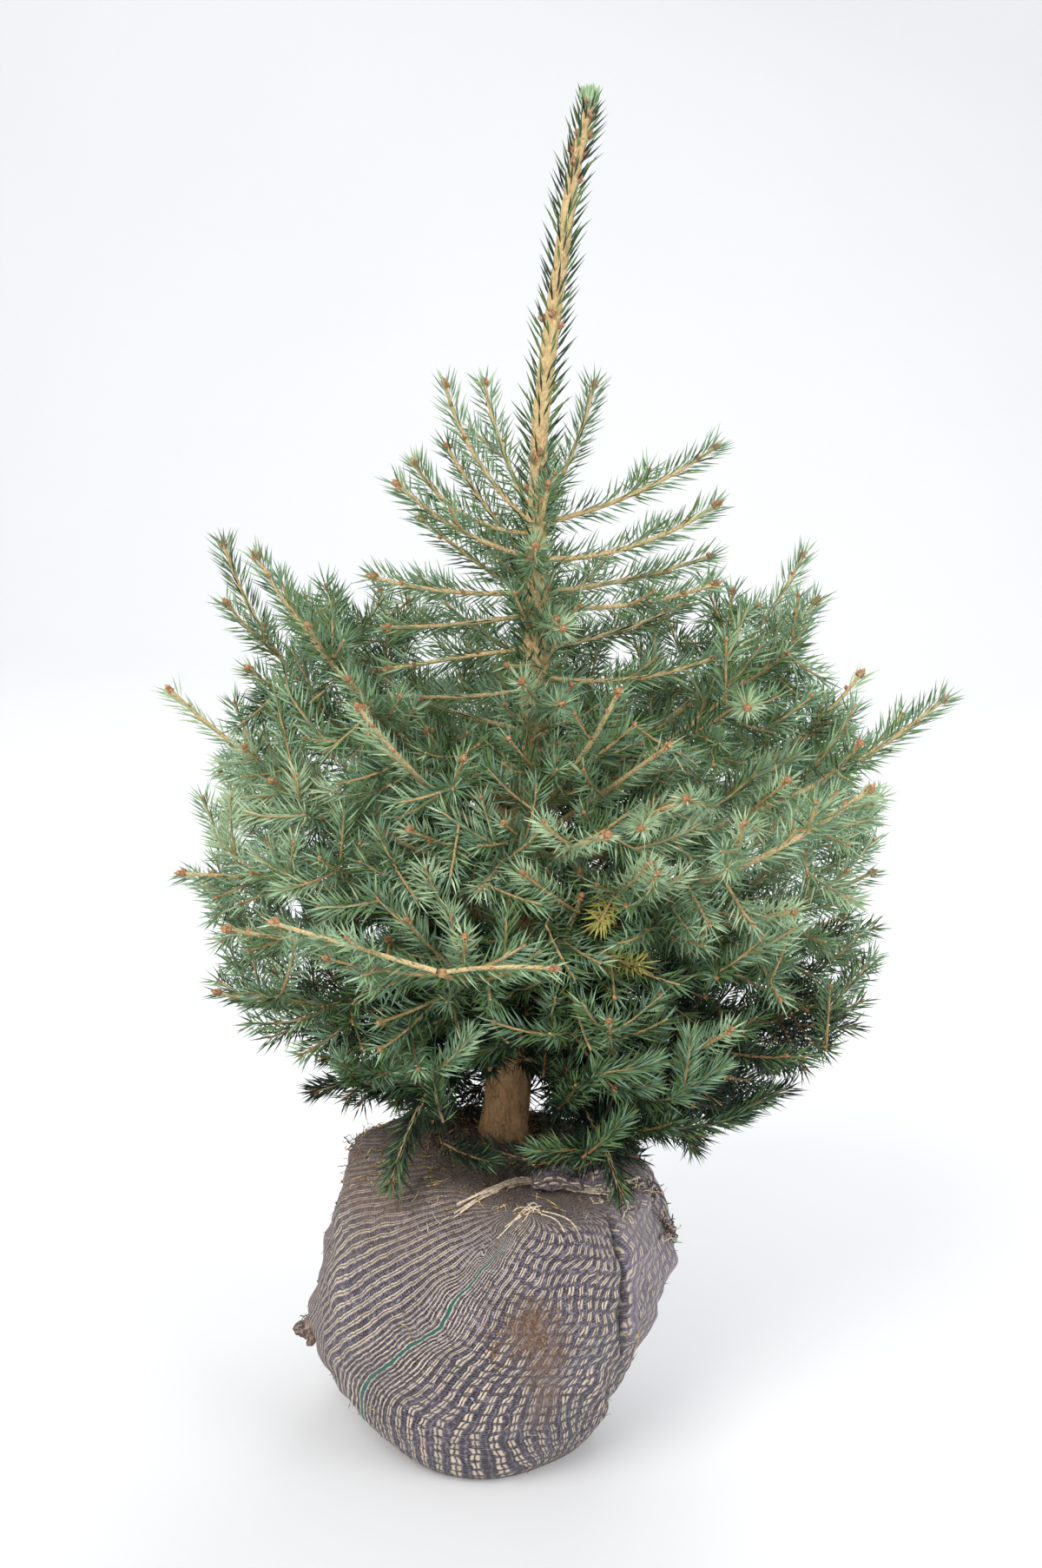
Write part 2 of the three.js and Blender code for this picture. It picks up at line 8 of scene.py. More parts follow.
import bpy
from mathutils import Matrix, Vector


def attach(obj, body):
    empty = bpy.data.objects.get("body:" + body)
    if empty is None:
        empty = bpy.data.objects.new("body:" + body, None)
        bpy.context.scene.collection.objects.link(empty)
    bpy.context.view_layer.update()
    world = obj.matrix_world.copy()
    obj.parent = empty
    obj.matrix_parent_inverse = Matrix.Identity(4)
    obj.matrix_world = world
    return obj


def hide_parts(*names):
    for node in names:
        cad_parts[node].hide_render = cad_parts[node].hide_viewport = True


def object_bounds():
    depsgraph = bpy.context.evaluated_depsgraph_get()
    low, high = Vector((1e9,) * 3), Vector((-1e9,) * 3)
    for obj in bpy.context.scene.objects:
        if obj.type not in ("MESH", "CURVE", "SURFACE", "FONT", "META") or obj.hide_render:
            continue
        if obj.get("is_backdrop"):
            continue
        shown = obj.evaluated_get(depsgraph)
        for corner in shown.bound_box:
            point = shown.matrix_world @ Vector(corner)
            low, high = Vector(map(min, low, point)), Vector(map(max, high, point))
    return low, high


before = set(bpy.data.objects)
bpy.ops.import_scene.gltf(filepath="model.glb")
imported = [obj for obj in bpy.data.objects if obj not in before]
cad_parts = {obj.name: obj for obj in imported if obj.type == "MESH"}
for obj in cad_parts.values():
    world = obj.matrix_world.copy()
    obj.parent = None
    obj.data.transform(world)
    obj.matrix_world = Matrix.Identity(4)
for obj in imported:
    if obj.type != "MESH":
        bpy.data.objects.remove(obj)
CAD_LOW, CAD_HIGH = (list(corner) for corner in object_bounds())

import math

import bpy
import numpy as np
from bpy.props import FloatProperty, FloatVectorProperty, IntProperty, PointerProperty
from mathutils import Matrix, Vector

bl_info = {
    "name": "Spruce sapling with root ball",
    "version": (1, 0, 0),
    "blender": (4, 5, 0),
    "location": "3D View > Sidebar > Sapling",
    "description": "Makes the sapling's bark, needles, buds and sacking round its CAD frame",
    "category": "Object",
}

MM = 0.001
UP = np.array([0.0, 0.0, 1.0])
GOLDEN = 137.508


def srgb(code):
    """Linear colour of a six-digit sRGB code."""
    parts = [int(code[i:i + 2], 16) / 255 for i in (0, 2, 4)]
    return tuple(c / 12.92 if c <= 0.04045 else ((c + 0.055) / 1.055) ** 2.4 for c in parts)


# ---- Settings that a user would change -------------------------------------------------------


def colour(name, code, words):
    return FloatVectorProperty(
        name=name, description=words, default=srgb(code), size=3, subtype="COLOR", min=0, max=1)


def length(name, value, words):
    return FloatProperty(name=name, description=words, default=value, min=0, unit="LENGTH", precision=4)


class SaplingNeedleSettings(bpy.types.PropertyGroup):
    needle_length: length("Needle length", 0.0182, "Length of a full-grown needle")
    needle_width: length("Needle width", 0.00142, "Thickness of a needle at its middle")
    spacing: length("Needle spacing", 0.00064, "Distance along the stem from one needle to the next")
    lean: FloatProperty(
        name="Lean", description="Angle between a needle and its stem",
        default=math.radians(54), subtype="ANGLE")
    lift: FloatProperty(
        name="Lift", description="Share by which needles turn up towards the light",
        default=0.08, min=0, max=1)
    seed: IntProperty(name="Seed", description="Seed of the needles' small differences", default=5)
    # The needle tones run from dark to light. Besides the needles' own greens, the dark ones are painted
    # shade inside the crown and low down, and the light ones are partly painted light on the outer, upper
    # shoots.
    deep: colour("Deep needles", "1c2b21", "Needles deep in the crown")
    middle: colour("Middle needles", "374c36", "Needles of older twigs")
    green: colour("Green needles", "66824f", "Needles of the upper shoots")
    blue: colour("Blue needles", "76957a", "Needles with a waxy bloom")
    light: colour("Light needles", "a2bd94", "Needles of the newest growth")
    pale: colour("Pale needles", "bbcfaa", "Needles round the end buds")
    yellow: colour("Yellow needles", "b0a95c", "A few needles that have turned")


class SaplingWoodSettings(bpy.types.PropertyGroup):
    gold: colour("Young stem", "e4cb98", "Bark of the newest growth")
    tan: colour("Twig bark", "d6b883", "Bark of older twigs")
    brown: colour("Bough bark", "b8925f", "Bark of the boughs")
    rust: colour("Trunk bark", "e6b485", "Bark at the foot of the trunk")
    crack: colour("Bark cracks", "82614a", "Gaps between the scales of bark")
    bud: colour("Bud scales", "a9714c", "Resting buds")
    bud_dark: colour("Brown buds", "94674f", "Buds of the leader")
    bud_edge: colour("Bud edges", "dcb98c", "Dry edges of the bud scales")
    cut: colour("Cut wood", "dcc29a", "The sawn end of the stub")


class SaplingSackingSettings(bpy.types.PropertyGroup):
    weft: colour("Grey yarn", "3d3544", "Reclaimed yarn that fills the cloth")
    # Also used for the painted highlight on the yarn tops and the painted light on the plain cloth.
    weft_light: colour("Light grey yarn", "ada3b0", "Paler fibres in the grey yarn")
    # Near-black painted shade in the gaps between the yarns, also used for the painted shade in the fold's
    # slit and beside the tan yarns.
    painted_shade: colour("Gaps", "231b20", "Gaps between the yarns")
    tan: colour("Tan yarn", "f8e3c9", "Jute yarn that runs in pairs")
    marker: colour("Marker yarn", "1f7a6d", "One dyed yarn")
    soil: colour("Soil", "6a5344", "Soil on the cloth")
    straw: colour("Straw", "d9bd7c", "Straw and fallen needles")
    yarn_pitch: length("Yarn pitch", 0.0019, "Distance between two cross yarns")
    pair_pitch: length("Pair pitch", 0.0062, "Distance between two pairs of tan yarn")


class SaplingStageSettings(bpy.types.PropertyGroup):
    floor: colour("Floor", "dcdddf", "Plain floor and backdrop")
    floor_glow: FloatProperty(
        name="Floor glow", description="Even light that the floor and backdrop give off",
        default=0.1, min=0)
    light_power: FloatProperty(name="Light power", description="Power of the main soft light", default=82)
    world_strength: FloatProperty(name="Sky strength", description="Strength of the even light", default=0.68)


# ---- Sizes shared with the solids ------------------------------------------------------------

BALL_TOP = 200
BALL_PROFILE = np.array([
    [0, 70, 70, 76, 76], [6, 84, 75, 86, 83], [22, 105, 87, 98, 95], [48, 119, 102, 109, 108],
    [75, 119, 115, 115, 116], [105, 113, 128, 119, 122], [138, 106, 137, 119, 125],
    [165, 101, 133, 113, 121], [185, 97, 118, 101, 112], [196, 89, 98, 86, 98],
    [BALL_TOP, 74, 70, 66, 78]], float)
TRUNK_LINE = np.array([
    [200.35, 12, 30, 19.5], [208, 12.2, 30.2, 17.5], [225, 13, 30.6, 16.4], [270, 15.7, 32, 15.2],
    [370, 18.5, 34, 12.8], [430, 19.9, 34, 11.2], [490, 20.7, 34, 9.6], [555, 22, 34, 7.8],
    [630, 19.7, 33, 6.2], [700, 19.4, 32, 5.2], [765, 25, 31, 4.6], [855, 34.5, 29, 3.4],
    [903, 44.5, 28, 2.2]])
TERMINAL, TWIG_TERMINAL, SPREAD, SHORTEST_TWIG, LONG_TWIG = 52, 28.6, 42, 27, 90
TIER_TWIGS, LIMB_TWIGS, TRUNK_TWIGS, FORK_TWIGS = (
    (0.5, 30, 0.28), (0.06, 34, 0.46), (0.33, 34, 0.4), (0.35, 29, 0.4))  # start, pitch, share
FINE_TWIGS = (34, 32, 0.38)
PATH_STEP = 4.5
SHOOT_CLEARANCE, TRUNK_CLEARANCE, LIMB_CLEARANCE = 8, 6, 2
LIMB_RADIUS, LIMB_TIP_RADIUS = 4.3, 3

# Tier: name, shoots. Shoot: height, direction, length, rise at the foot, rise at the tip.
TIERS = [
    ("leader_needles", []),
    ("foliage_tier_1", [
        (632, 150, 118, 30, 70), (637, 115, 125, 25, 58), (628, 188, 98, -2, 60),
        (612, 205, 113, 12, 42), (634, 10, 131, 12, 36), (611, -12, 128, 2, 39),
        (640, 60, 111, 30, 68), (620, 88, 108, 25, 55), (632, -80, 50, 20, 65),
        (606, 135, 115, 30, 46), (604, -95, 50, 8, 30)]),
    ("foliage_tier_2", [
        (584, 156, 98, 22, 35), (590, 193, 111, -6, 16), (575, 183, 100, -12, -2),
        (580, -8, 121, -3, 24), (588, 25, 133, 3, 15), (569, -75, 52, 5, 20),
        (578, 62, 105, -2, 26), (580, 108, 112, 5, 30)]),
    ("foliage_tier_3", [
        (552, 35, 129, -1, 20), (552, 190, 100, -7, -10), (524, 182, 96, -12, 3),
        (533, -6, 123, -8, 26), (542, -112, 50, 0, 15), (516, -72, 56, 0, 15),
        (540, 78, 125, 0, 25), (545, 128, 125, 0, 26)]),
    ("foliage_tier_4", [
        (478, 197, 78, -4, 6), (484, 20, 104, -3, 16), (494, 54, 135, -4, 22),
        (488, 98, 140, -2, 24), (496, 148, 135, -4, 22), (475, -104, 66, 0, 20)]),
]
# Bough: name, height, direction, length, rise at the foot, rise at the tip, bare limb.
BOUGHS = [
    ("left_high", 426, 190, 264, 31, 60, 92), ("back_left_high", 446, 157, 305, -4, 70, 92),
    ("left_middle", 396, 177, 275, 8, 43, 92), ("right_high", 438, 12, 248, 19, 54, 85),
    ("right_middle", 404, -16, 312, 8, 46, 100), ("front_right_middle", 366, -37, 298, 12, 44, 88),
    ("back_right_high", 456, 36, 290, 4, 58, 95), ("back_right_top", 432, 62, 252, 8, 52, 88),
    ("back_left_top", 432, 122, 258, 6, 54, 88), ("right_low", 344, -6, 250, 0, 32, 80),
    ("left_low", 358, 190, 235, 16, 4, 75), ("front_left_fork", 318, 254, 178, 17, 23, 178),
    ("front_left_high", 408, 230, 210, 28, 48, 0), ("right_upper", 418, 6, 265, 0, 56, 0),
    ("front_high", 434, -68, 185, 30, 50, 0), ("front_right_high", 415, -53, 176, 34, 36, 0),
    ("front_middle", 399, -76, 215, 23, 21, 0), ("front_left_middle", 390, 225, 138, 16, 31, 0),
    ("back_middle", 400, 90, 240, 4, 46, 0), ("back_left_middle", 360, 140, 245, 2, 34, 0),
    ("back_right_middle", 345, 66, 235, -2, 30, 0), ("back_low", 318, 106, 220, -6, 24, 0),
    ("left_foot", 302, 190, 207, -7, 14, 0), ("left_under", 332, 206, 215, 9, 16, 0),
    ("front_upright", 320, -71, 156, 18, 60, 0), ("right_under", 322, 18, 250, -10, 22, 0),
    ("right_foot", 286, 4, 216, -8, 17, 0), ("front_right_foot", 298, -42, 152, -8, 10, 0),
    ("front_right_level", 372, -26, 176, 16, -4, 0), ("front_right_star", 386, -52, 186, 37, 26, 0),
    ("hanging_front", 262, -58, 160, 22, -58, 0), ("hanging_right", 258, 28, 190, -4, -58, 0),
    ("back_right_foot", 276, 48, 205, -14, -3, 0), ("hanging_left", 286, 236, 170, 16, -72, 0),
    ("back_left_foot", 268, 166, 155, -14, -26, 0), ("back_foot", 282, 88, 190, -10, 5, 0),
    ("back_left_hem", 300, 130, 195, -12, -4, 0)]
FORKS = [("fork_left", 194, 110, 19, 20), ("fork_right", -25, 78, 18, 6)]
FORK_OFFSET = 4.2
STUB = (352, -84, 62, 48, 72)
STUB_RADIUS, STUB_TIP_RADIUS = 3.6, 3
ROLL_AT, ROLL_HALF, ROLL_TURN = (58, -50, 210.5), (27, 12, 9.5), 14
CORNER_AT, CORNER_LENGTH, CORNER_RADIUS = (-120.5, -4, 66), 11, 6

# Finer growth, for the looks alone.
FINE_CLEARANCE = 8.5
FINE_TURN = 137.5  # a finer twig is turned this far round its parent from the one before
OPEN_SIDE = (46, 11)  # how far out, and how far to each side, the upper side of a bough stays open
# Passes that fill the crown: tries, lowest height, span of heights, least share of the reach, span of
# that share, its bend, clearance.
FILL_PASSES = (
    (2600, 400, 195, 0.8, 0.2, 1, 8.5), (7200, 222, 316, 0.1, 0.9, 0.78, 9.5),
    (2200, 222, 110, 0.1, 0.9, 0.78, 8.5))
# Twigs that end below SHADED_BELOW get darker bark, as painted shade.
LOW_CROWN, SHADED_BELOW = 450, 310
CROWN_AXIS = np.array([18, 33, 0])
VIEW_SLOPE, VIEW_DEPTH = 0.427, 30  # slope of the front view, and where the trunk's foot stands in it
# Reach of the crown from the trunk, to the left, right, front and back, at each height.
CROWN_REACH = np.array([
    [216, 84, 118, 96, 110], [235, 92, 156, 122, 165], [262, 104, 196, 142, 205],
    [284, 150, 216, 148, 225], [300, 208, 240, 152, 232], [350, 222, 248, 152, 245],
    [420, 226, 252, 150, 245], [470, 212, 246, 122, 222], [520, 190, 222, 74, 180],
    [548, 168, 200, 44, 140], [590, 150, 176, 30, 90]], float)
# Buds of the leader: height, direction.
LEADER_BUDS = [
    (898, -120), (889, -42), (900, 190), (877, 0), (878, -130), (868, 200), (861, -100), (865, -6),
    (850, -20), (895, 95), (872, 125), (856, 60), (767, -95), (764, 190), (760, -25), (763, 80),
    (679, -85), (675, -125), (668, -72), (672, 60), (655, 160), (720, 40)]
# Shoots that point to the front: start, direction, length, rise, mass.
STARS = [
    ((18, 10, 610), -88, 44, 23, "tier_1"), ((27, 14, 572), -76, 48, 4, "tier_2"),
    ((25, 6, 521), -105, 50, 24, "tier_3"), ((32, -1, 519), -82, 56, 12, "tier_3"),
    ((100, -54, 466), -100, 62, 2, "front_right_star"), ((140, -50, 470), -112, 66, 14, "right_middle"),
    ((-17, -87, 362), -88, 60, 41, "fork_left"), ((160, -35, 391), -64, 70, 17, "front_right_level"),
    ((0, -60, 290), -87, 62, 16, "hanging_left"), ((-12, -41, 429), -137, 63, 22, "front_left_middle"),
    ((53, -71, 403), -133, 62, 32, "front_upright"), ((80, -69, 415), -72, 62, 31, "front_right_middle"),
    ((121, -62, 299), -48, 62, 35, "front_right_foot"), ((-116, -32, 362), -76, 63, 16, "left_under"),
    ((81, -62, 301), -96, 72, 37, "front_right_foot"), ((160, 6, 528), -94, 62, 4, "right_high"),
    ((-74, 18, 499), -102, 63, 20, "left_high")]


def rising(value, low, high):
    """0 up to the low value, 1 from the high one, and straight between them."""
    return np.clip((value - low) / (high - low), 0, 1)


def dimmed(tint, share):
    """A colour made darker or lighter."""
    return tuple(min(1, c * share) for c in tint)


def signed_turn(degrees):
    """The same turn between -180 and 180 degrees."""
    return (degrees + 180) % 360 - 180


# ---- The seeded rule -------------------------------------------------------------------------


def lehmer(seed):
    """Even random numbers from 0 to 1, the same each time for one seed."""
    state = [seed * 7919 + 104729]

    def following():
        state[0] = state[0] * 16807 % 2147483647
        return state[0] / 2147483647

    following()
    following()
    return following


def heading(toward, rise):
    flat = np.cos(np.radians(rise))
    return np.stack([flat * np.cos(np.radians(toward)), flat * np.sin(np.radians(toward)),
                     np.sin(np.radians(rise))], axis=-1)


def trunk_point(height):
    return np.array([np.interp(height, TRUNK_LINE[:, 0], TRUNK_LINE[:, 1]),
                     np.interp(height, TRUNK_LINE[:, 0], TRUNK_LINE[:, 2]), height])


def trunk_radius(height):
    return np.interp(height, TRUNK_LINE[:, 0], TRUNK_LINE[:, 3])


class Shoot:
    """A shoot keeps its direction seen from above, and its rise changes evenly along it."""

    def __init__(self, start, toward, length, rise, tip_rise, order, node=None):
        steps = max(2, math.floor(length / PATH_STEP + 0.5))
        slopes = rise + (tip_rise - rise) * (np.arange(steps) + 0.5) / steps
        moves = heading(np.full(steps, toward), slopes) * (length / steps)
        self.points = np.vstack([start, start + np.cumsum(moves, axis=0)])
        self.toward, self.length, self.rise, self.tip_rise = toward, length, rise, tip_rise
        self.order, self.node, self.number, self.limb = order, node, None, False

    def at(self, distance):
        steps = len(self.points) - 1
        place = min(steps - 1e-6, distance / self.length * steps)
        index = int(place)
        return self.points[index] + (self.points[index + 1] - self.points[index]) * (place - index)

    def rise_at(self, distance):
        return self.rise + (self.tip_rise - self.rise) * distance / self.length

    def cut(self, joint):
        """Leaves what begins at one of the shoot's points."""
        length = self.length * (1 - joint / (len(self.points) - 1))
        self.rise = self.rise_at(self.length - length)
        self.points, self.length = self.points[joint:], length


def side_twigs(stem, chance, first, pitch, share, hand, turn=0, bare=None, shortest=SHORTEST_TWIG):
    """Twigs beside a stem. With a turn, each stands further round the stem, but none on its top."""
    twigs, side, at, rolled = [], hand, first, 0
    if bare is None:
        bare = TWIG_TERMINAL if stem.order > 1 else TERMINAL
    while at < stem.length - bare:
        size = (stem.length - at) * (share + 0.12 * chance()) + 8
        angle = math.radians(SPREAD + 10 * chance())
        lift, curl = 3 + 9 * chance(), 8 + 12 * chance()
        ahead = heading(stem.toward, stem.rise_at(at))
        level = heading(stem.toward + 90, 0)
        upright = np.cross(ahead, level)
        over = side * math.sin(math.radians(rolled))
        if over > 0.3 and stem.order < 3:
            over *= -1
        beside = level * math.cos(math.radians(rolled)) * side + upright * over
        way = ahead * math.cos(angle) + beside * math.sin(angle)
        toward = math.degrees(math.atan2(way[1], way[0]))
        rise = math.degrees(math.asin(max(-1, min(1, way[2])))) + lift
        side, rolled = -side, rolled + turn
        if size >= shortest:
            twigs.append(Shoot(stem.at(at), toward, size, rise, rise + curl, stem.order + 1, stem.node))
        at += pitch * (0.85 + 0.3 * chance())
    return twigs


def reach_at(table, height, angle):
    """Reach at a height and a direction, as a rounded outline through a table's four reaches."""
    rows = [np.interp(height, table[:, 0], table[:, i]) for i in range(1, 5)]
    wide = np.where(np.cos(angle) > 0, rows[1], rows[0])
    deep = np.where(np.sin(angle) > 0, rows[3], rows[2])
    return 1 / np.hypot(np.cos(angle) / wide, np.sin(angle) / deep)


def near_ball(points, clearance):
    low = points[points[:, 2] <= BALL_TOP + clearance]
    if not len(low):
        return False
    reach = reach_at(BALL_PROFILE, np.minimum(low[:, 2], BALL_TOP), np.arctan2(low[:, 1], low[:, 0]))
    return bool((np.hypot(low[:, 0], low[:, 1]) < reach + clearance).any())


def distance_to_path(points, path):
    """Least distance between any of the points and a path of straight pieces."""
    start, edge = path[:-1], path[1:] - path[:-1]
    off = points[:, None, :] - start[None]
    share = np.clip((off * edge).sum(-1) / (edge * edge).sum(-1), 0, 1)
    return np.sqrt(((off - share[..., None] * edge) ** 2).sum(-1).min())


def seen_height(points):
    """Height on the trunk that each point is seen in front of."""
    return points[:, 2] - VIEW_SLOPE * (VIEW_DEPTH - points[:, 1])


def hides_foot(points, most):
    """True where more than a share of the points stand in front of the foot of the trunk."""
    seen, x, y = seen_height(points), points[:, 0], points[:, 1]
    return bool(((seen > 196) & (seen < 250) & (np.abs(x - 10) < 34) & (y < 26)).mean() > most)


def hides_soil(points, most):
    """True where more than a share of the points lie over the soil to the left of the trunk."""
    seen, x = seen_height(points), points[:, 0]
    return bool(((seen > 176) & (seen < 214) & (x > -96) & (x < -18)).mean() > most)


def room_of(points):
    """Middle and radius of a ball that holds all the points."""
    centre = (points.min(0) + points.max(0)) / 2
    return centre, np.sqrt(((points - centre) ** 2).sum(1).max())


class Crown:
    """Every path that takes room, and the shoots of each mass."""

    def __init__(self):
        self.paths, self.nodes, self.rooms = [], [], np.zeros((0, 5))
        self.shoots, self.stars, self.limbs, self.stub = [], [], {}, None
        self.open_spots = self.open_ways = np.zeros((0, 3))

    def open_sides(self):
        """Notes the upper outer side of each main bough, which stays open to the light."""
        self.open_spots = np.vstack([
            stem.points[2::2] for stem in self.shoots
            if stem.order == 1 and 300 < stem.points[-1, 2] and not stem.node.startswith("foliage_tier")])
        out = self.open_spots - CROWN_AXIS
        out[:, 2] = 0
        out /= np.linalg.norm(out, axis=1)[:, None]
        ways = out * 0.7 + UP * 0.72
        self.open_ways = ways / np.linalg.norm(ways, axis=1)[:, None]

    def covers(self, points):
        """True where a twig would stand over the open side of a main bough."""
        off = points[:, None] - self.open_spots[None]
        along = (off * self.open_ways).sum(-1)
        beside = np.sqrt(np.maximum((off ** 2).sum(-1) - along ** 2, 0))
        return bool(((along > 6) & (along < OPEN_SIDE[0]) & (beside < OPEN_SIDE[1])).any())

    def place(self, node, points, extra=0):
        """Takes the room of a path, and returns the path's number."""
        centre, radius = room_of(points)
        self.paths.append(points)
        self.nodes.append(node)
        self.rooms = np.vstack([self.rooms, [*centre, radius, extra]])
        return len(self.paths) - 1

    def crowded(self, points, clearance, skip):
        """True where the points come too near a path that isn't skipped."""
        centre, radius = room_of(points)
        reach = radius + self.rooms[:, 3] + clearance + self.rooms[:, 4]
        near = np.flatnonzero(((self.rooms[:, :3] - centre) ** 2).sum(1) <= reach ** 2)
        return any(distance_to_path(points, self.paths[i]) < clearance + self.rooms[i, 4]
                   for i in near if not skip(i))

    def add_twigs(self, node, stem, chance, rule, hand):
        added = []
        for twig in side_twigs(stem, chance, *rule, hand):
            free = twig.points[2:]
            if self.crowded(free, SHOOT_CLEARANCE, lambda i: self.nodes[i] == node):
                continue
            if near_ball(free, SHOOT_CLEARANCE):
                continue
            twig.node = node
            twig.number = self.place(node, twig.points)
            self.shoots.append(twig)
            added.append(twig)
        return added

    def keep_fine(self, twig, parent, clearance=FINE_CLEARANCE, start=2):
        """A finer twig is kept where it has room, and where it stays within the crown's reach."""
        free = twig.points[start:]
        if not len(free) or near_ball(free, 7) or not self.within(free[-1]):
            return False
        if hides_foot(free, 0) or self.covers(free[::2]):
            return False
        if self.crowded(free, clearance, lambda i: i == parent):
            return False
        twig.number = self.place(twig.node, twig.points)
        self.shoots.append(twig)
        return True

    def within(self, point):
        low, high = np.array(CAD_LOW) / MM, np.array(CAD_HIGH) / MM
        return bool((point > low + 6).all() and (point < high - 6).all())


def plan_crown():
    """The shoots of the solids, in the same order and with the same numbers."""
    crown = Crown()
    plans = []
    crown.place("trunk", np.array([trunk_point(h) for h in TRUNK_LINE[:, 0]]), TRUNK_CLEARANCE)

    def plan_mass(name, stems, rule):
        for stem in stems:
            stem.node = name
            stem.number = crown.place(name, stem.points)
            crown.shoots.append(stem)
        plans.append((name, stems, rule))

    for name, rows in TIERS:
        plan_mass(name, [Shoot(trunk_point(height), *rest, 1) for height, *rest in rows], TIER_TWIGS)
    for name, height, toward, size, rise, tip_rise, limb in BOUGHS:
        bough = Shoot(trunk_point(height), toward, size, rise, tip_rise, 1)
        joint = math.floor(limb / size * (len(bough.points) - 1) + 0.5)
        if limb:
            crown.limbs[name] = bough.points[:joint + 1]
            crown.place("bough_" + name, crown.limbs[name], LIMB_CLEARANCE)
        if limb < size:
            bough.cut(joint)
            plan_mass("foliage_" + name, [bough], LIMB_TWIGS if limb else TRUNK_TWIGS)
    end = crown.limbs["front_left_fork"][-1]
    for name, toward, size, rise, tip_rise in FORKS:
        start = end + heading(toward, rise) * FORK_OFFSET
        plan_mass("foliage_" + name, [Shoot(start, toward, size - FORK_OFFSET, rise, tip_rise, 1)],
                  FORK_TWIGS)
    height, *rest = STUB
    crown.stub = Shoot(trunk_point(height), *rest, 1)
    crown.place("pruned_stub", crown.stub.points, LIMB_CLEARANCE)

    second = []
    for number, (name, stems, (start, pitch, share)) in enumerate(plans):
        chance, hand = lehmer(number + 1), 1 if number % 2 else -1
        twigs = []
        for stem in stems:
            twigs += crown.add_twigs(name, stem, chance, (stem.length * start, pitch, share), hand)
        second.append((name, twigs, chance, hand))
    for name, twigs, chance, hand in second:
        for twig in twigs:
            if twig.length > LONG_TWIG:
                crown.add_twigs(name, twig, chance, FINE_TWIGS, hand)
    return crown


def grow_finer(crown):
    """Carries the rule on to finer twigs all round each shoot, on the boughs and on the trunk."""
    chance = lehmer(71)
    for start, toward, size, rise, name in STARS:
        star = Shoot(start, toward, size, rise, rise + 6, 2, "foliage_" + name)
        star.number = crown.place(star.node, star.points)
        crown.stars.append(star)
    crown.open_sides()
    nearest = list(crown.shoots)
    crown.shoots += crown.stars
    # Short shoots on the trunk and on the bare boughs.
    turn = 0
    for height in np.arange(258, 640, 3.2):
        turn += GOLDEN
        low = height < LOW_CROWN
        rise = (2 if low else 22) + 28 * chance()
        size = (60 + 80 * chance()) if low else (30 + 26 * chance())
        twig = Shoot(trunk_point(height), turn % 360, size, rise, rise + 22, 2,
                     "foliage_front_middle" if low else "foliage_tier_3")
        if crown.keep_fine(twig, 0, FINE_CLEARANCE, 4) and low:
            nearest.append(twig)
    for number, node in enumerate(list(crown.nodes)):
        if not node.startswith("bough_"):
            continue
        path, way = crown.paths[number], crown.paths[number][-1] - crown.paths[number][0]
        toward = math.degrees(math.atan2(way[1], way[0]))
        for i in range(4, len(path)):
            side = 1 if i % 2 else -1
            rise = -25 + 75 * chance()
            twig = Shoot(path[i], toward + side * (30 + 50 * chance()), 40 + 52 * chance(), rise,
                         rise + 15, 2, mass_of(node[6:]))
            if crown.keep_fine(twig, number):
                nearest.append(twig)
    for level in range(3):
        grown = []
        for stem in nearest:
            if stem.node.startswith("foliage_tier"):
                continue  # the upper shoots stay single
            first = (24 if stem.order == 1 else 15) if level == 0 else 12
            bare = 40 if stem.order == 1 else 24
            for twig in side_twigs(stem, chance, first, 12, 0.34, 1, FINE_TURN / 2, bare, 21):
                if crown.keep_fine(twig, stem.number):
                    grown.append(twig)
        nearest = grown


def mass_of(bough):
    """Node of the mass that a bough carries."""
    return "foliage_fork_left" if bough == "front_left_fork" else "foliage_" + bough


def fill_crown(crown):
    """Twigs that reach into room that is still empty inside the crown, from the nearest shoot."""
    chance = lehmer(97)
    stems = [s for s in crown.shoots if not s.node.startswith(("foliage_tier", "leader"))]
    spots = np.vstack([s.points for s in stems])
    owners = np.concatenate([np.full(len(s.points), i) for i, s in enumerate(stems)])
    for fill in (row for row in FILL_PASSES for _ in range(row[0])):
        _, lowest, span, least, room, bend, clearance = fill
        height = lowest + span * chance()
        angle = 2 * math.pi * chance()
        away = reach_at(CROWN_REACH, height, angle) * (least + room * chance() ** bend)
        if height > 500 and away < 130:
            continue
        out = np.array([math.cos(angle), math.sin(angle), 0.0])
        end = CROWN_AXIS + out * away + (0, 0, height)
        off = end - spots
        gaps = np.linalg.norm(off, axis=1)
        if gaps.min() < 15 or not crown.within(end):
            continue
        forward = (off @ out + 0.35 * off[:, 2]) / gaps
        cost = np.abs(gaps - 40) + 60 * np.clip(0.3 - forward, 0, 2)
        cost[(gaps < 24) | (gaps > 74)] = np.inf
        best = int(cost.argmin())
        if cost[best] > 60:
            continue
        stem, way = stems[owners[best]], off[best]
        rise = math.degrees(math.asin(way[2] / gaps[best]))
        twig = Shoot(spots[best], math.degrees(math.atan2(way[1], way[0])), gaps[best] * 1.01, rise - 9,
                     rise + 9, min(4, stem.order + 1), stem.node)
        if crown.keep_fine(twig, stem.number, clearance):
            stems.append(twig)
            spots = np.vstack([spots, twig.points[2:]])
            owners = np.append(owners, np.full(len(twig.points) - 2, len(stems) - 1))


# ---- Mesh, geometry tree and material helpers ------------------------------------------------


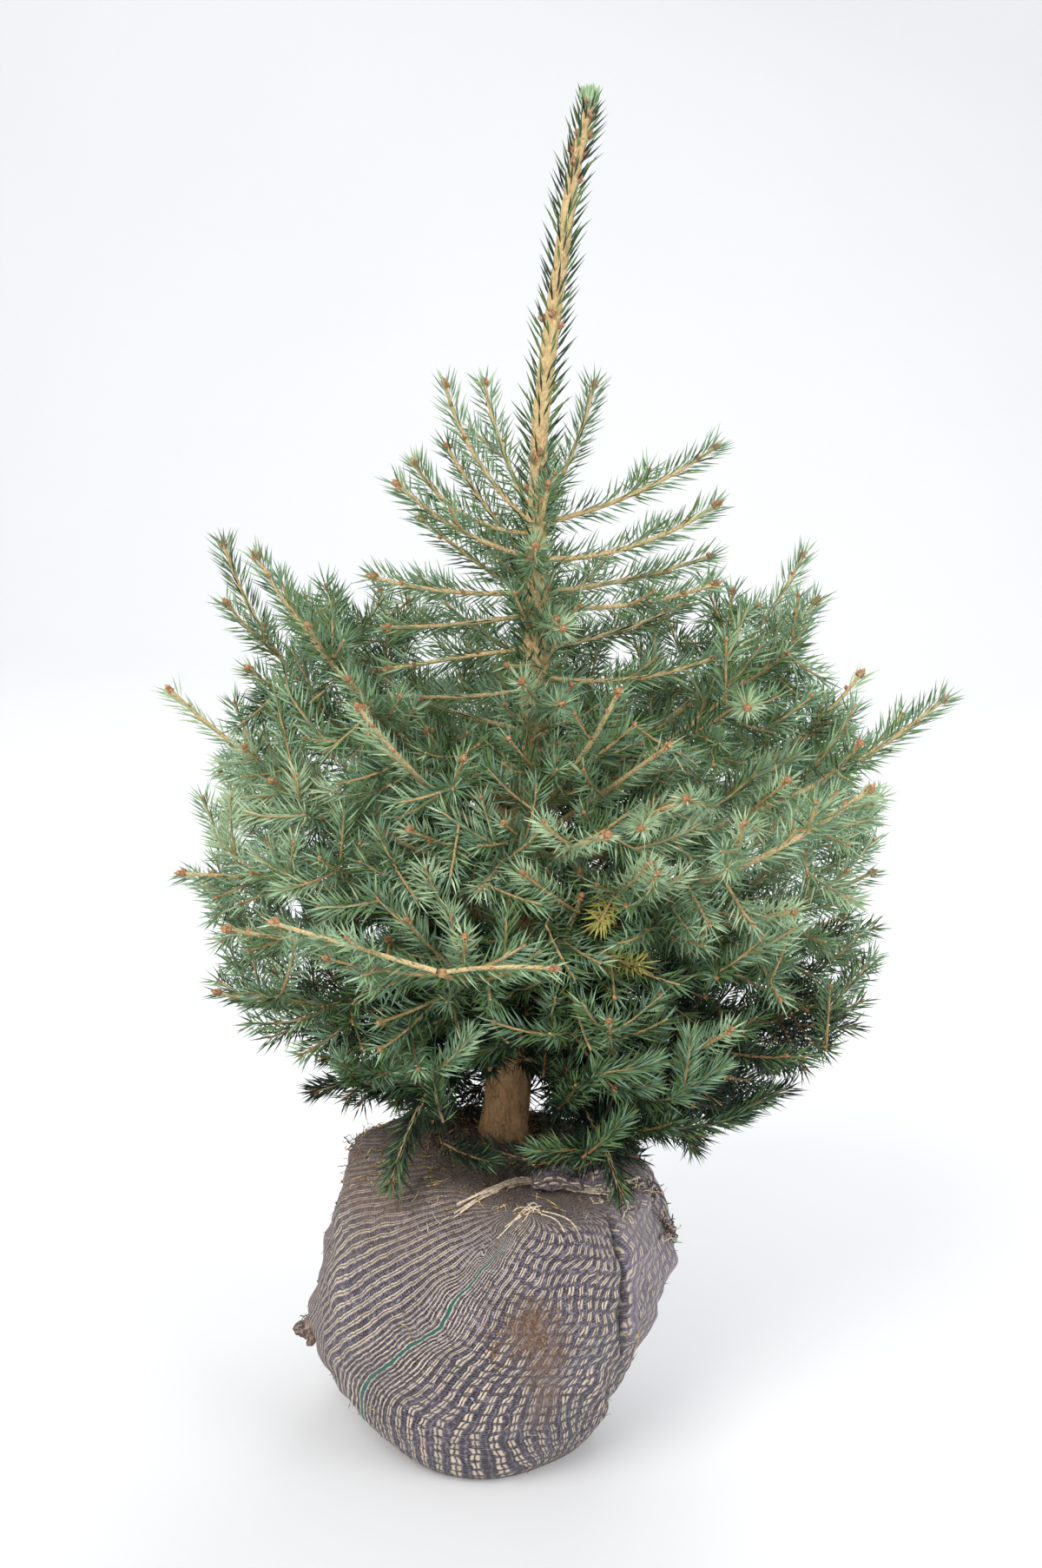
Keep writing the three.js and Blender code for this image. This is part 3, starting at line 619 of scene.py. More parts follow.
def mesh_object(name, points, faces=(), edges=(), smooth=True):
    mesh = bpy.data.meshes.new(name)
    mesh.from_pydata((np.asarray(points, float) * MM).tolist(), edges, faces)
    if smooth and len(mesh.polygons):
        mesh.polygons.foreach_set("use_smooth", [True] * len(mesh.polygons))
    mesh.update()
    made = bpy.data.objects.new(name, mesh)
    bpy.context.scene.collection.objects.link(made)
    return made


def add_numbers(mesh, name, values, kind="FLOAT"):
    layer = mesh.attributes.new(name, kind, "POINT")
    key = "vector" if kind == "FLOAT_VECTOR" else "value"
    layer.data.foreach_set(key, np.asarray(values, np.float32).ravel())


def belongs(piece, nodes=()):
    """The piece rides on the tree, and stands for the CAD nodes it is made for."""
    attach(piece, "root")
    if nodes:
        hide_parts(*nodes)
    return piece


class Graph:
    """Short words for building a node tree."""

    def __init__(self, tree):
        self.tree = tree

    def add(self, kind, settings=None, **values):
        node = self.tree.nodes.new(kind)
        for key, value in (settings or {}).items():
            setattr(node, key, value)
        self.give(node, **values)
        return node

    def give(self, node, **values):
        """Sets or links inputs by name, with _ for a space."""
        for key, value in values.items():
            self.feed(node, key.replace("_", " "), value)

    def feed(self, node, socket, value):
        if isinstance(socket, str):
            named = [s for s in node.inputs if s.enabled and s.name.lower() == socket.lower()]
            socket = named[0] if named else node.inputs[socket]
        elif isinstance(socket, int):
            socket = node.inputs[socket]
        if isinstance(value, bpy.types.NodeSocket):
            self.tree.links.new(value, socket)
        elif isinstance(value, bpy.types.Node):
            self.tree.links.new(value.outputs[0], socket)
        elif socket.type == "RGBA" and len(value) == 3:
            socket.default_value = (*value, 1)
        else:
            socket.default_value = value

    def math(self, operation, *values):
        node = self.tree.nodes.new("ShaderNodeMath")
        node.operation = operation
        for socket, value in zip(node.inputs, values):
            self.feed(node, socket, value)
        return node.outputs[0]

    def plus(self, first, second):
        return self.math("ADD", first, second)

    def minus(self, first, second):
        return self.math("SUBTRACT", first, second)

    def times(self, first, second):
        return self.math("MULTIPLY", first, second)

    def vector(self, operation, *values):
        node = self.tree.nodes.new("ShaderNodeVectorMath")
        node.operation = operation
        for socket, value in zip(node.inputs, values):
            self.feed(node, socket, value)
        return node.outputs["Value" if operation in ("LENGTH", "DOT_PRODUCT") else "Vector"]

    def ramp(self, value, low, high, out_low=0.0, out_high=1.0, smooth=True):
        node = self.tree.nodes.new("ShaderNodeMapRange")
        node.interpolation_type = "SMOOTHSTEP" if smooth else "LINEAR"
        for socket, given in zip(node.inputs, (value, low, high, out_low, out_high)):
            self.feed(node, socket, given)
        return node.outputs[0]

    def noise(self, place, scale, detail=3, rough=0.55, distortion=0.0):
        node = self.add("ShaderNodeTexNoise", Vector=place, Scale=scale, Detail=detail,
                        Roughness=rough, Distortion=distortion)
        return node.outputs["Fac"]

    def mix(self, share, first, second, blend="MIX"):
        node = self.tree.nodes.new("ShaderNodeMix")
        node.data_type, node.blend_type = "RGBA", blend
        sockets = [s for s in node.inputs if s.enabled]
        self.feed(node, sockets[0], share)
        self.feed(node, sockets[1], first)
        self.feed(node, sockets[2], second)
        return [s for s in node.outputs if s.enabled][0]

    def near(self, value, middle, half, soft):
        """1 where the value is within half of the middle, falling to 0 over soft."""
        away = self.math("ABSOLUTE", self.minus(value, middle))
        return self.ramp(away, half - soft / 2, half + soft / 2, 1.0, 0.0)


def new_material(name):
    material = bpy.data.materials.new(name)
    material.use_nodes = True
    material.node_tree.nodes.clear()
    graph = Graph(material.node_tree)
    shader = graph.add("ShaderNodeBsdfPrincipled")
    out = graph.add("ShaderNodeOutputMaterial")
    material.node_tree.links.new(shader.outputs[0], out.inputs[0])
    return material, graph, shader


def place_of(graph, scale=(1, 1, 1)):
    """The piece's own coordinates, stretched by a scale."""
    place = graph.add("ShaderNodeTexCoord").outputs["Object"]
    return graph.add("ShaderNodeMapping", Vector=place, Scale=scale).outputs[0]


def noise_vector(graph, place, scale):
    """A soft random colour, to be read as a vector."""
    return graph.add("ShaderNodeTexNoise", Vector=place, Scale=scale, Detail=2.0).outputs["Color"]


def attribute(graph, name):
    return graph.add("ShaderNodeAttribute", {"attribute_name": name}).outputs["Fac"]


def bumped(graph, shader, height, depth, strength):
    bump = graph.add("ShaderNodeBump", Strength=strength, Distance=depth, Height=height)
    graph.feed(shader, "Normal", bump.outputs[0])


def geometry_tree(name, inputs):
    """An empty geometry tree with a geometry input, the named inputs and a geometry output."""
    tree = bpy.data.node_groups.new(name, "GeometryNodeTree")
    tree.interface.new_socket("Geometry", in_out="INPUT", socket_type="NodeSocketGeometry")
    for label, kind, value in inputs:
        socket = tree.interface.new_socket(label, in_out="INPUT", socket_type="NodeSocket" + kind)
        if value is not None:
            socket.default_value = value
    tree.interface.new_socket("Geometry", in_out="OUTPUT", socket_type="NodeSocketGeometry")
    graph = Graph(tree)
    given = graph.add("NodeGroupInput")
    end = graph.add("NodeGroupOutput")
    return tree, graph, given.outputs, end


def finish_tree(graph, end, geometry, material):
    """Makes instances real, and gives all of it one material."""
    real = graph.add("GeometryNodeRealizeInstances", Geometry=geometry)
    graph.feed(end, 0, graph.add("GeometryNodeSetMaterial", Geometry=real, Material=material).outputs[0])


def named(graph, name, kind="FLOAT"):
    return graph.add("GeometryNodeInputNamedAttribute", {"data_type": kind}, Name=name).outputs[0]


def scattered(graph, low, high, seed, offset):
    """A random number for each point."""
    node = graph.add("FunctionNodeRandomValue", {"data_type": "FLOAT"})
    graph.feed(node, node.inputs[2], low)
    graph.feed(node, node.inputs[3], high)
    graph.feed(node, "Seed", graph.plus(seed, float(offset)))
    return node.outputs[1]


WORK_NUMBERS = ("tone", "shade", "keep", "size", "girth", "lean", "way", "part")  # only the trees need them


def made_by(tree, source, inputs):
    """Turns a source object into the plain mesh that the tree makes from it."""
    modifier = source.modifiers.new(tree.name, "NODES")
    modifier.node_group = tree
    for item in tree.interface.items_tree:
        if item.item_type == "SOCKET" and item.in_out == "INPUT" and item.name in inputs:
            modifier[item.identifier] = inputs[item.name]
    source.update_tag()
    graph = bpy.context.evaluated_depsgraph_get()
    mesh = bpy.data.meshes.new_from_object(
        source.evaluated_get(graph), preserve_all_data_layers=True, depsgraph=graph)
    old = source.data
    source.modifiers.remove(modifier)
    source.data = mesh
    mesh.name = source.name
    bpy.data.meshes.remove(old)
    for layer in [a.name for a in mesh.attributes]:
        if layer in WORK_NUMBERS:
            mesh.attributes.remove(mesh.attributes[layer])
    return source


def discard(*objects):
    for item in objects:
        bpy.data.objects.remove(item)


# ---- Growth shared by twigs, needles and buds ------------------------------------------------

growth = {}


def crown_growth():
    """The crown is grown once and kept for the operators that follow."""
    if "crown" not in growth:
        crown = plan_crown()
        grow_finer(crown)
        fill_crown(crown)
        crown.shoots = [s for s in crown.shoots if s.order == 1 or not (
            hides_foot(s.points, 0.25) or hides_soil(s.points, 0.3))]
        growth["crown"] = crown
    return growth["crown"]


def girths(stem):
    """Radius of the stem at each of its points."""
    share = np.linspace(0, 1, len(stem.points))
    if stem.limb:
        return LIMB_RADIUS + (LIMB_TIP_RADIUS - LIMB_RADIUS) * share
    foot = {1: 2.6, 2: 1.6}.get(stem.order, 1.0)
    tip = {1: 1.3, 2: 0.95}.get(stem.order, 0.75)
    foot = max(tip, min(foot, 0.9 + stem.length / 110))
    return foot + (tip - foot) * share ** 0.8


def painted_light_and_shade(stem):
    """Painted light and shade of a shoot's needles: lighter further out and higher up, and darkest below."""
    away = np.hypot(*(stem.points[-1, :2] - CROWN_AXIS[:2]))
    side, _, tip = stem.points[-1]
    light = 2.7 * min(1, (away / 190) ** 1.25) + 3.8 * rising(tip, 270, 570) - 1.2
    light -= 0.5 * rising(310 - tip, 0, 50)
    # Painted light on the hanging shoots, most on the left one; below 380 the others get painted shade, more
    # on the right.
    if "hanging" in stem.node:
        return light + (0.9 if stem.node == "foliage_hanging_left" else 0.25)
    return light - rising(380 - tip, 0, 80) * (0.8 + 0.6 * rising(side, 0, 60) - 0.6 * rising(-side, 0, 60))


def sprays(crown):
    """Each shoot as a spray of needles: path, and how full, long and light it is at each point; the lightness
    is partly painted light and shade.

    The last two numbers say how far its needles part on the upper side, and how much less they lean.
    """
    chance = lehmer(409)
    rows = []
    for stem in crown.shoots:
        count = len(stem.points)
        left = (1 - np.linspace(0, 1, count)) * stem.length
        away = np.hypot(*(stem.points[:, :2] - CROWN_AXIS[:2]).T)
        tip, star = stem.points[-1, 2], stem in crown.stars
        high = stem.points[:, 2].mean() > 470
        low = tip < 300 or "hanging" in stem.node
        keep = np.where(left < 75, 1.0, 0.85) * (0.8 if high else {1: 0.7, 2: 0.88}.get(stem.order, 1))
        if low or star:
            keep = np.ones(count)
        elif not high:
            keep = keep * np.clip((away - 14) / 30, 0.6, 1)
        size = (1.04 if high else 0.97) - 0.22 * np.clip(1 - left / 8, 0, 1)
        draw = chance() - 0.5
        turned = chance() < 0.012 and 330 < tip < 480 and stem.points[-1, 1] < 0
        # The tone: painted light and shade by place, a random draw for each spray, and lighter new growth at
        # the tip.
        if high:
            tone = 2.4 + draw * 1.3 + 0.8 * np.clip(1 - left / 22, 0, 1)
        else:
            tone = painted_light_and_shade(stem) + draw * 2.0 + 0.9 * np.clip(1 - left / 30, 0, 1)
        tone = np.full(count, 6.0) if turned else np.clip(tone + (1.1 if star else 0), 0, 5)
        part = 0.0 if high or star else (0.92 if stem.order == 1 else 0.2)
        rows.append((stem, keep, size, tone, part * (0.2 if low else 1), 0.0))
        if "hanging" in stem.node or (low and stem.order == 1):
            rows.append((stem, keep, size, tone, 0.0, -0.24))
    for name, path in crown.limbs.items():
        fork = name == "front_left_fork"
        limb = Shoot(path[0], 0, np.linalg.norm(np.diff(path, axis=0), axis=1).sum(), 0, 0, 1, mass_of(name))
        limb.points, limb.limb = path, True
        keep = np.linspace(0.5 if fork else 0.1, 1.0 if fork else 0.8, len(path))
        rows.append((limb, keep, 0.97, np.full(len(path), 2.4 if fork else 1.6), 0.88, 0.0))
    return rows


def path_mesh(name, rows):
    """Edges that follow several paths, with numbers at their points. Row: points, {name: numbers}."""
    points, edges, numbers, base = [], [], {}, 0
    for path, given in rows:
        points.append(path)
        edges += [(base + i, base + i + 1) for i in range(len(path) - 1)]
        for key, values in given.items():
            numbers.setdefault(key, []).append(np.broadcast_to(values, (len(path),)))
        base += len(path)
    made = mesh_object(name, np.vstack(points), edges=edges)
    for key, values in numbers.items():
        add_numbers(made.data, key, np.concatenate(values))
    return made


# ---- Materials -------------------------------------------------------------------------------


# Needle tones from dark to light; where a spray stands picks the dark ones as painted shade and the light
# ones partly as painted light.
NEEDLE_TONES = ("deep", "middle", "green", "blue", "light", "pale", "yellow")


def needle_materials(settings):
    made = []
    for name in NEEDLE_TONES:
        material, graph, shader = new_material("needles_" + name)
        graph.give(shader, Base_Color=getattr(settings, name), Roughness=0.46, Specular_IOR_Level=0.3)
        made.append(material)
    return made


def stem_material(name, base, mark, wood):
    """Thin bark with the small pale pegs that the needles stand on, and darker grooves between them."""
    material, graph, shader = new_material(name)
    place = place_of(graph)
    broad = graph.noise(place, 60, 3)
    pegs = graph.add("ShaderNodeTexVoronoi", {"feature": "F1"}, Vector=place, Scale=560).outputs["Distance"]
    fine = graph.noise(place, 900, 3, 0.6)
    tint = graph.mix(graph.ramp(broad, 0.35, 0.7), base, mark)
    tint = graph.mix(graph.ramp(pegs, 0.4, 0.8, 0.0, 0.45), tint, wood.crack)
    tint = graph.mix(graph.ramp(fine, 0.5, 0.75, 0.0, 0.35), tint, wood.bud_edge)
    graph.give(shader, Base_Color=tint, Roughness=0.7)
    bumped(graph, shader, graph.minus(graph.times(fine, 0.5), pegs), 0.0008, 0.8)
    return material


def trunk_material(wood):
    """Thin flaking bark, rust-brown at the foot and golden at the top."""
    material, graph, shader = new_material("trunk_bark")
    place = place_of(graph)
    height = graph.add("ShaderNodeSeparateXYZ", Vector=place).outputs[2]
    wander = graph.times(graph.minus(graph.noise(place, 22, 2), 0.5), 0.12)
    height = graph.plus(height, wander)
    stray = graph.vector("MULTIPLY", noise_vector(graph, place, 160.0), (0.004, 0.004, 0.004))
    bent = graph.vector("ADD", place_of(graph, (1, 1, 0.4)), stray)
    scales = graph.add("ShaderNodeTexVoronoi", {"feature": "DISTANCE_TO_EDGE"},
                       Vector=bent, Scale=300).outputs["Distance"]
    cracks = graph.times(graph.ramp(scales, 0.0, 0.14, 1.0, 0.0),
                         graph.ramp(graph.noise(place, 75, 2), 0.4, 0.62))
    streak = graph.noise(place_of(graph, (1, 1, 0.2)), 300, 5, 0.7)
    flecks = graph.noise(place, 480, 4, 0.7)
    low = graph.mix(graph.ramp(streak, 0.35, 0.65), wood.rust, wood.brown)
    low = graph.mix(graph.ramp(flecks, 0.5, 0.72, 0.0, 0.6), low, wood.crack)
    low = graph.mix(graph.ramp(graph.noise(place, 140, 3), 0.52, 0.7, 0.0, 0.55), low, wood.bud_edge)
    high = graph.mix(graph.ramp(streak, 0.3, 0.7), wood.gold, wood.tan)
    high = graph.mix(graph.ramp(flecks, 0.44, 0.7, 0.0, 0.8), high, wood.brown)
    tint = graph.mix(graph.ramp(height, 0.40, 0.62), low, high)
    tint = graph.mix(graph.times(cracks, graph.ramp(height, 0.4, 0.72, 0.55, 0.1)),
                     tint, dimmed(wood.crack, 0.6))
    graph.give(shader, Base_Color=tint, Roughness=0.85)
    relief = graph.plus(graph.times(streak, 0.8), graph.times(flecks, 0.4))
    relief = graph.minus(relief, graph.times(cracks, 0.5))
    bumped(graph, shader, relief, 0.0014, 0.9)
    return material


def bud_material(name, tint, edge):
    material, graph, shader = new_material(name)
    place = place_of(graph)
    flakes = graph.noise(place, 700, 2)
    tint = graph.mix(graph.ramp(flakes, 0.42, 0.7, 0.0, 0.8), tint, edge)
    graph.give(shader, Base_Color=tint, Roughness=0.6)
    bumped(graph, shader, flakes, 0.0005, 0.6)
    return material


# ---- Prototypes that the trees repeat --------------------------------------------------------


def needle_shape(settings):
    """A needle of six triangles: a three-sided spindle, widest below its middle and bent a little."""
    size, half = settings.needle_length / MM, settings.needle_width / MM / 2
    ring = [(half * math.cos(math.radians(t)) - 0.15, half * math.sin(math.radians(t)), size * 0.4)
            for t in (90, 210, 330)]
    faces = [(0, 2, 1), (0, 3, 2), (0, 1, 3), (1, 2, 4), (2, 3, 4), (3, 1, 4)]
    return mesh_object("needle_shape", [(0, 0, 0), *ring, (-0.7, 0, size)], faces, smooth=False)


def bud_shape():
    """A bud with a round of dry scales that stand away at their tips."""
    sides, points, faces = 5, [], []
    for z, r in ((0, 1.5), (1.9, 2.05)):
        points += [(r * math.cos(2 * math.pi * i / sides), r * math.sin(2 * math.pi * i / sides), z)
                   for i in range(sides)]
    points += [(0, 0, 4.9), (0, 0, -0.4)]
    tip, foot = len(points) - 2, len(points) - 1
    for i in range(sides):
        j = (i + 1) % sides
        faces += [(i, j, sides + j, sides + i), (sides + i, sides + j, tip), (j, i, foot)]
    for i in range(4):
        turn = 2 * math.pi * i / 4 + 0.4
        c, s = math.cos(turn), math.sin(turn)
        base = len(points)
        points += [(1.5 * c - 0.9 * s, 1.5 * s + 0.9 * c, 0.4), (1.5 * c + 0.9 * s, 1.5 * s - 0.9 * c, 0.4),
                   (2.6 * c, 2.6 * s, 3.0 + 0.5 * (i % 2)), (1.0 * c, 1.0 * s, 1.0)]
        faces += [(base, base + 2, base + 1), (base + 1, base + 2, base + 3),
                  (base, base + 3, base + 2), (base, base + 1, base + 3)]
    return mesh_object("bud_shape", points, faces, smooth=False)


def crumb_shape():
    """A small lump of eight faces."""
    points = [(1, 0, 0), (-0.8, 0.2, 0), (0, 0.9, 0.1), (0.1, -1, 0), (0, 0, 0.8), (0, 0, -0.7)]
    faces = [(0, 2, 4), (2, 1, 4), (1, 3, 4), (3, 0, 4), (2, 0, 5), (1, 2, 5), (3, 1, 5), (0, 3, 5)]
    return mesh_object("crumb", points, faces, smooth=False)


# ---- Geometry trees --------------------------------------------------------------------------


def needle_tree(materials):
    """Needles all round each path, in a spiral, leaning forward and turned up a little."""
    tree, graph, given, end = geometry_tree("needle_sprays", [
        ("Needle", "Object", None), ("Spacing", "Float", 0.0008), ("Lean", "Float", 0.9),
        ("Lift", "Float", 0.1), ("Thickness", "Float", 1.0), ("Seed", "Int", 1),
        *[(material.name, "Material", None) for material in materials]])
    curve = graph.add("GeometryNodeMeshToCurve", Mesh=given["Geometry"])
    even = graph.add("GeometryNodeResampleCurve", {"mode": "LENGTH"}, Curve=curve, Length=given["Spacing"])
    points = graph.add("GeometryNodeCurveToPoints", {"mode": "EVALUATED"}, Curve=even)
    frame_turn = points.outputs["Rotation"]
    seed = given["Seed"]
    index = graph.add("GeometryNodeInputIndex").outputs[0]
    turn = graph.plus(graph.times(index, math.radians(GOLDEN)), scattered(graph, -0.3, 0.3, seed, 1))
    about = graph.add("FunctionNodeAxisAngleToRotation", Axis=(0, 0, 1), Angle=turn)
    round_stem = graph.add("FunctionNodeRotateRotation", {"rotation_space": "LOCAL"},
                           Rotation=frame_turn, Rotate_By=about)
    girth = graph.times(named(graph, "girth"), 0.85 * MM)
    shift = graph.times(scattered(graph, -0.7, 0.7, seed, 2), given["Spacing"])
    offset = graph.add("ShaderNodeCombineXYZ", X=girth, Y=0.0, Z=shift)
    out = graph.add("FunctionNodeRotateVector", Vector=offset, Rotation=round_stem)
    moved = graph.add("GeometryNodeSetPosition", Geometry=points.outputs["Points"], Offset=out)
    lean = graph.plus(graph.plus(given["Lean"], named(graph, "lean")),
                      scattered(graph, -0.16, 0.16, seed, 3))
    tilt = graph.add("FunctionNodeAxisAngleToRotation", Axis=(0, 1, 0), Angle=lean)
    leaned = graph.add("FunctionNodeRotateRotation", {"rotation_space": "LOCAL"},
                       Rotation=round_stem, Rotate_By=tilt)
    lifted = graph.add("FunctionNodeAlignRotationToVector", {"axis": "Z"},
                       Rotation=leaned, Factor=given["Lift"], Vector=(0, 0, 1))
    outward = graph.add("FunctionNodeRotateVector", Vector=(1.0, 0.0, 0.0), Rotation=round_stem)
    over = graph.add("ShaderNodeSeparateXYZ", Vector=outward).outputs[2]
    parted = graph.times(graph.ramp(over, 0.0, 0.45), named(graph, "part"))
    kept = graph.add("FunctionNodeCompare", {"data_type": "FLOAT", "operation": "LESS_THAN"})
    graph.feed(kept, kept.inputs[0], scattered(graph, 0.0, 1.0, seed, 4))
    graph.feed(kept, kept.inputs[1], graph.times(named(graph, "keep"), graph.minus(1.0, parted)))
    long = graph.times(named(graph, "size"), scattered(graph, 0.8, 1.1, seed, 5))
    shape = graph.add("GeometryNodeObjectInfo", Object=given["Needle"])
    # Each needle strays from its spray's tone, except on a spray that has turned yellow.
    tone = named(graph, "tone")
    fixed = graph.math("GREATER_THAN", tone, 5.5)
    spread = graph.times(scattered(graph, -1.15, 1.15, seed, 6), graph.minus(1.0, fixed))
    shade = graph.math("MINIMUM", graph.plus(tone, spread), graph.plus(fixed, 5.4))
    stored = graph.add("GeometryNodeStoreNamedAttribute", {"data_type": "FLOAT", "domain": "POINT"},
                       Geometry=moved, Name="shade")
    graph.feed(stored, "Value", graph.math("MAXIMUM", shade, 0.0))
    all_needles = graph.add("GeometryNodeInstanceOnPoints", Points=stored, Selection=kept,
                            Instance=shape.outputs["Geometry"], Rotation=lifted,
                            Scale=graph.add("ShaderNodeCombineXYZ", X=given["Thickness"],
                                            Y=given["Thickness"], Z=long))
    shown = graph.add("GeometryNodeRealizeInstances", Geometry=all_needles).outputs[0]
    for number, material in enumerate(materials):
        chosen = graph.add("FunctionNodeCompare", {"data_type": "FLOAT", "operation": "GREATER_THAN"})
        graph.feed(chosen, chosen.inputs[0], named(graph, "shade"))
        graph.feed(chosen, chosen.inputs[1], number - 0.5)
        shown = graph.add("GeometryNodeSetMaterial", Geometry=shown, Selection=chosen,
                          Material=given[material.name]).outputs[0]
    graph.feed(end, 0, shown)
    return tree


def stem_tree():
    """A round tube along each path, as thick as the path says."""
    tree, graph, given, end = geometry_tree("stem_tubes", [
        ("Sides", "Int", 6), ("Material", "Material", None)])
    curve = graph.add("GeometryNodeMeshToCurve", Mesh=given["Geometry"])
    ring = graph.add("GeometryNodeCurvePrimitiveCircle", {"mode": "RADIUS"},
                     Resolution=given["Sides"], Radius=MM)
    tube = graph.add("GeometryNodeCurveToMesh", Curve=curve, Profile_Curve=ring.outputs[0],
                     Scale=named(graph, "girth"), Fill_Caps=True)
    finish_tree(graph, end, graph.add("GeometryNodeSetShadeSmooth", Geometry=tube), given["Material"])
    return tree


def bud_tree():
    """A bud at each point, turned the way the point says."""
    tree, graph, given, end = geometry_tree("resting_buds", [
        ("Bud", "Object", None), ("Seed", "Int", 1), ("Material", "Material", None)])
    spun = graph.add("FunctionNodeAxisAngleToRotation", Axis=(0, 0, 1),
                     Angle=scattered(graph, 0.0, 6.28, given["Seed"], 1))
    turned = graph.add("FunctionNodeAlignRotationToVector", {"axis": "Z"}, Rotation=spun,
                       Factor=1.0, Vector=named(graph, "way", "FLOAT_VECTOR"))
    size = named(graph, "size")
    shape = graph.add("GeometryNodeObjectInfo", Object=given["Bud"])
    buds = graph.add("GeometryNodeInstanceOnPoints", Points=given["Geometry"],
                     Instance=shape.outputs["Geometry"], Rotation=turned,
                     Scale=graph.add("ShaderNodeCombineXYZ", X=size, Y=size, Z=size))
    finish_tree(graph, end, buds, given["Material"])
    return tree


# ---- Tubes with relief -----------------------------------------------------------------------


def waves(points, size, seed, count=9):
    """A smooth random field of about -1 to 1 whose bumps are of a size."""
    random = np.random.default_rng(seed)
    total = np.zeros(len(points))
    for _ in range(count):
        way = random.normal(size=3)
        way *= 2 * math.pi / size * random.uniform(0.6, 1.5) / np.linalg.norm(way)
        total += np.sin(points @ way + random.uniform(0, 6.28))
    return total / math.sqrt(count)


def ring_faces(rings, sides):
    """Faces between neighbouring rings of points."""
    return [(a + i, a + (i + 1) % sides, a + sides + (i + 1) % sides, a + sides + i)
            for a in range(0, (rings - 1) * sides, sides) for i in range(sides)]


def closed_faces(rings, sides):
    """The same, with both ends closed to the two points that follow the rings."""
    last, foot = (rings - 1) * sides, rings * sides
    return (ring_faces(rings, sides) + [((i + 1) % sides, i, foot) for i in range(sides)]
            + [(last + i, last + (i + 1) % sides, foot + 1) for i in range(sides)])


def tube(path, radii, sides, relief):
    """Points and faces of a tube along a path. Relief takes share, turns and points, and adds height."""
    way = np.gradient(path, axis=0)
    way /= np.linalg.norm(way, axis=1)[:, None]
    level = np.array([1.0, 0.0, 0.0])
    turn = 2 * math.pi * np.arange(sides) / sides
    rings = []
    for i, ahead in enumerate(way):
        level = level - ahead * level.dot(ahead)
        level /= np.linalg.norm(level)
        out = np.outer(np.cos(turn), level) + np.outer(np.sin(turn), np.cross(ahead, level))
        reach = radii[i] + relief(i / (len(path) - 1), turn, path[i] + out * radii[i])
        rings.append(path[i] + out * reach[:, None])
    return np.vstack([*rings, path[0], path[-1]]), closed_faces(len(path), sides)


def sampled(path, at, known):
    """Points of a path at some places along it, where the places of its own points are known."""
    return np.stack([np.interp(at, known, path[:, k]) for k in range(3)], 1)


def evenly(path, count):
    """Shares from 0 to 1, and the points of the path there."""
    share = np.linspace(0, 1, count)
    return share, sampled(path, share * (len(path) - 1), np.arange(len(path)))


def join_parts(parts):
    points, faces, base = [], [], 0
    for part_points, part_faces in parts:
        points.append(part_points)
        faces += [tuple(base + i for i in face) for face in part_faces]
        base += len(part_points)
    return np.vstack(points), faces


# ---- Operators -------------------------------------------------------------------------------


FLOOR_NEAR, FLOOR_WALL, FLOOR_SIDE, WALL_TOP, FLOOR_BEND = -7000.0, 3400, 9000, 6000.0, 900
# Light: name, place, aim, size, share of the power, tint.
LIGHTS = (
    ("main_light", (-1.5, -2.1, 2.9), (0, 0, 0.4), 2.2, 1.0, (1, 0.985, 0.96)),
    ("fill_light", (2.4, -1.6, 1.7), (0, 0, 0.35), 2.0, 0.42, (0.95, 0.98, 1)),
    ("back_light", (0.6, 2.0, 2.6), (0, 0, 0.5), 1.8, 0.5, (1, 1, 1)))
CAMERA_PLACE, CAMERA_DOWN, CAMERA_TURN = (0.0154, -1.39, 0.8313), 14.70, 2.014


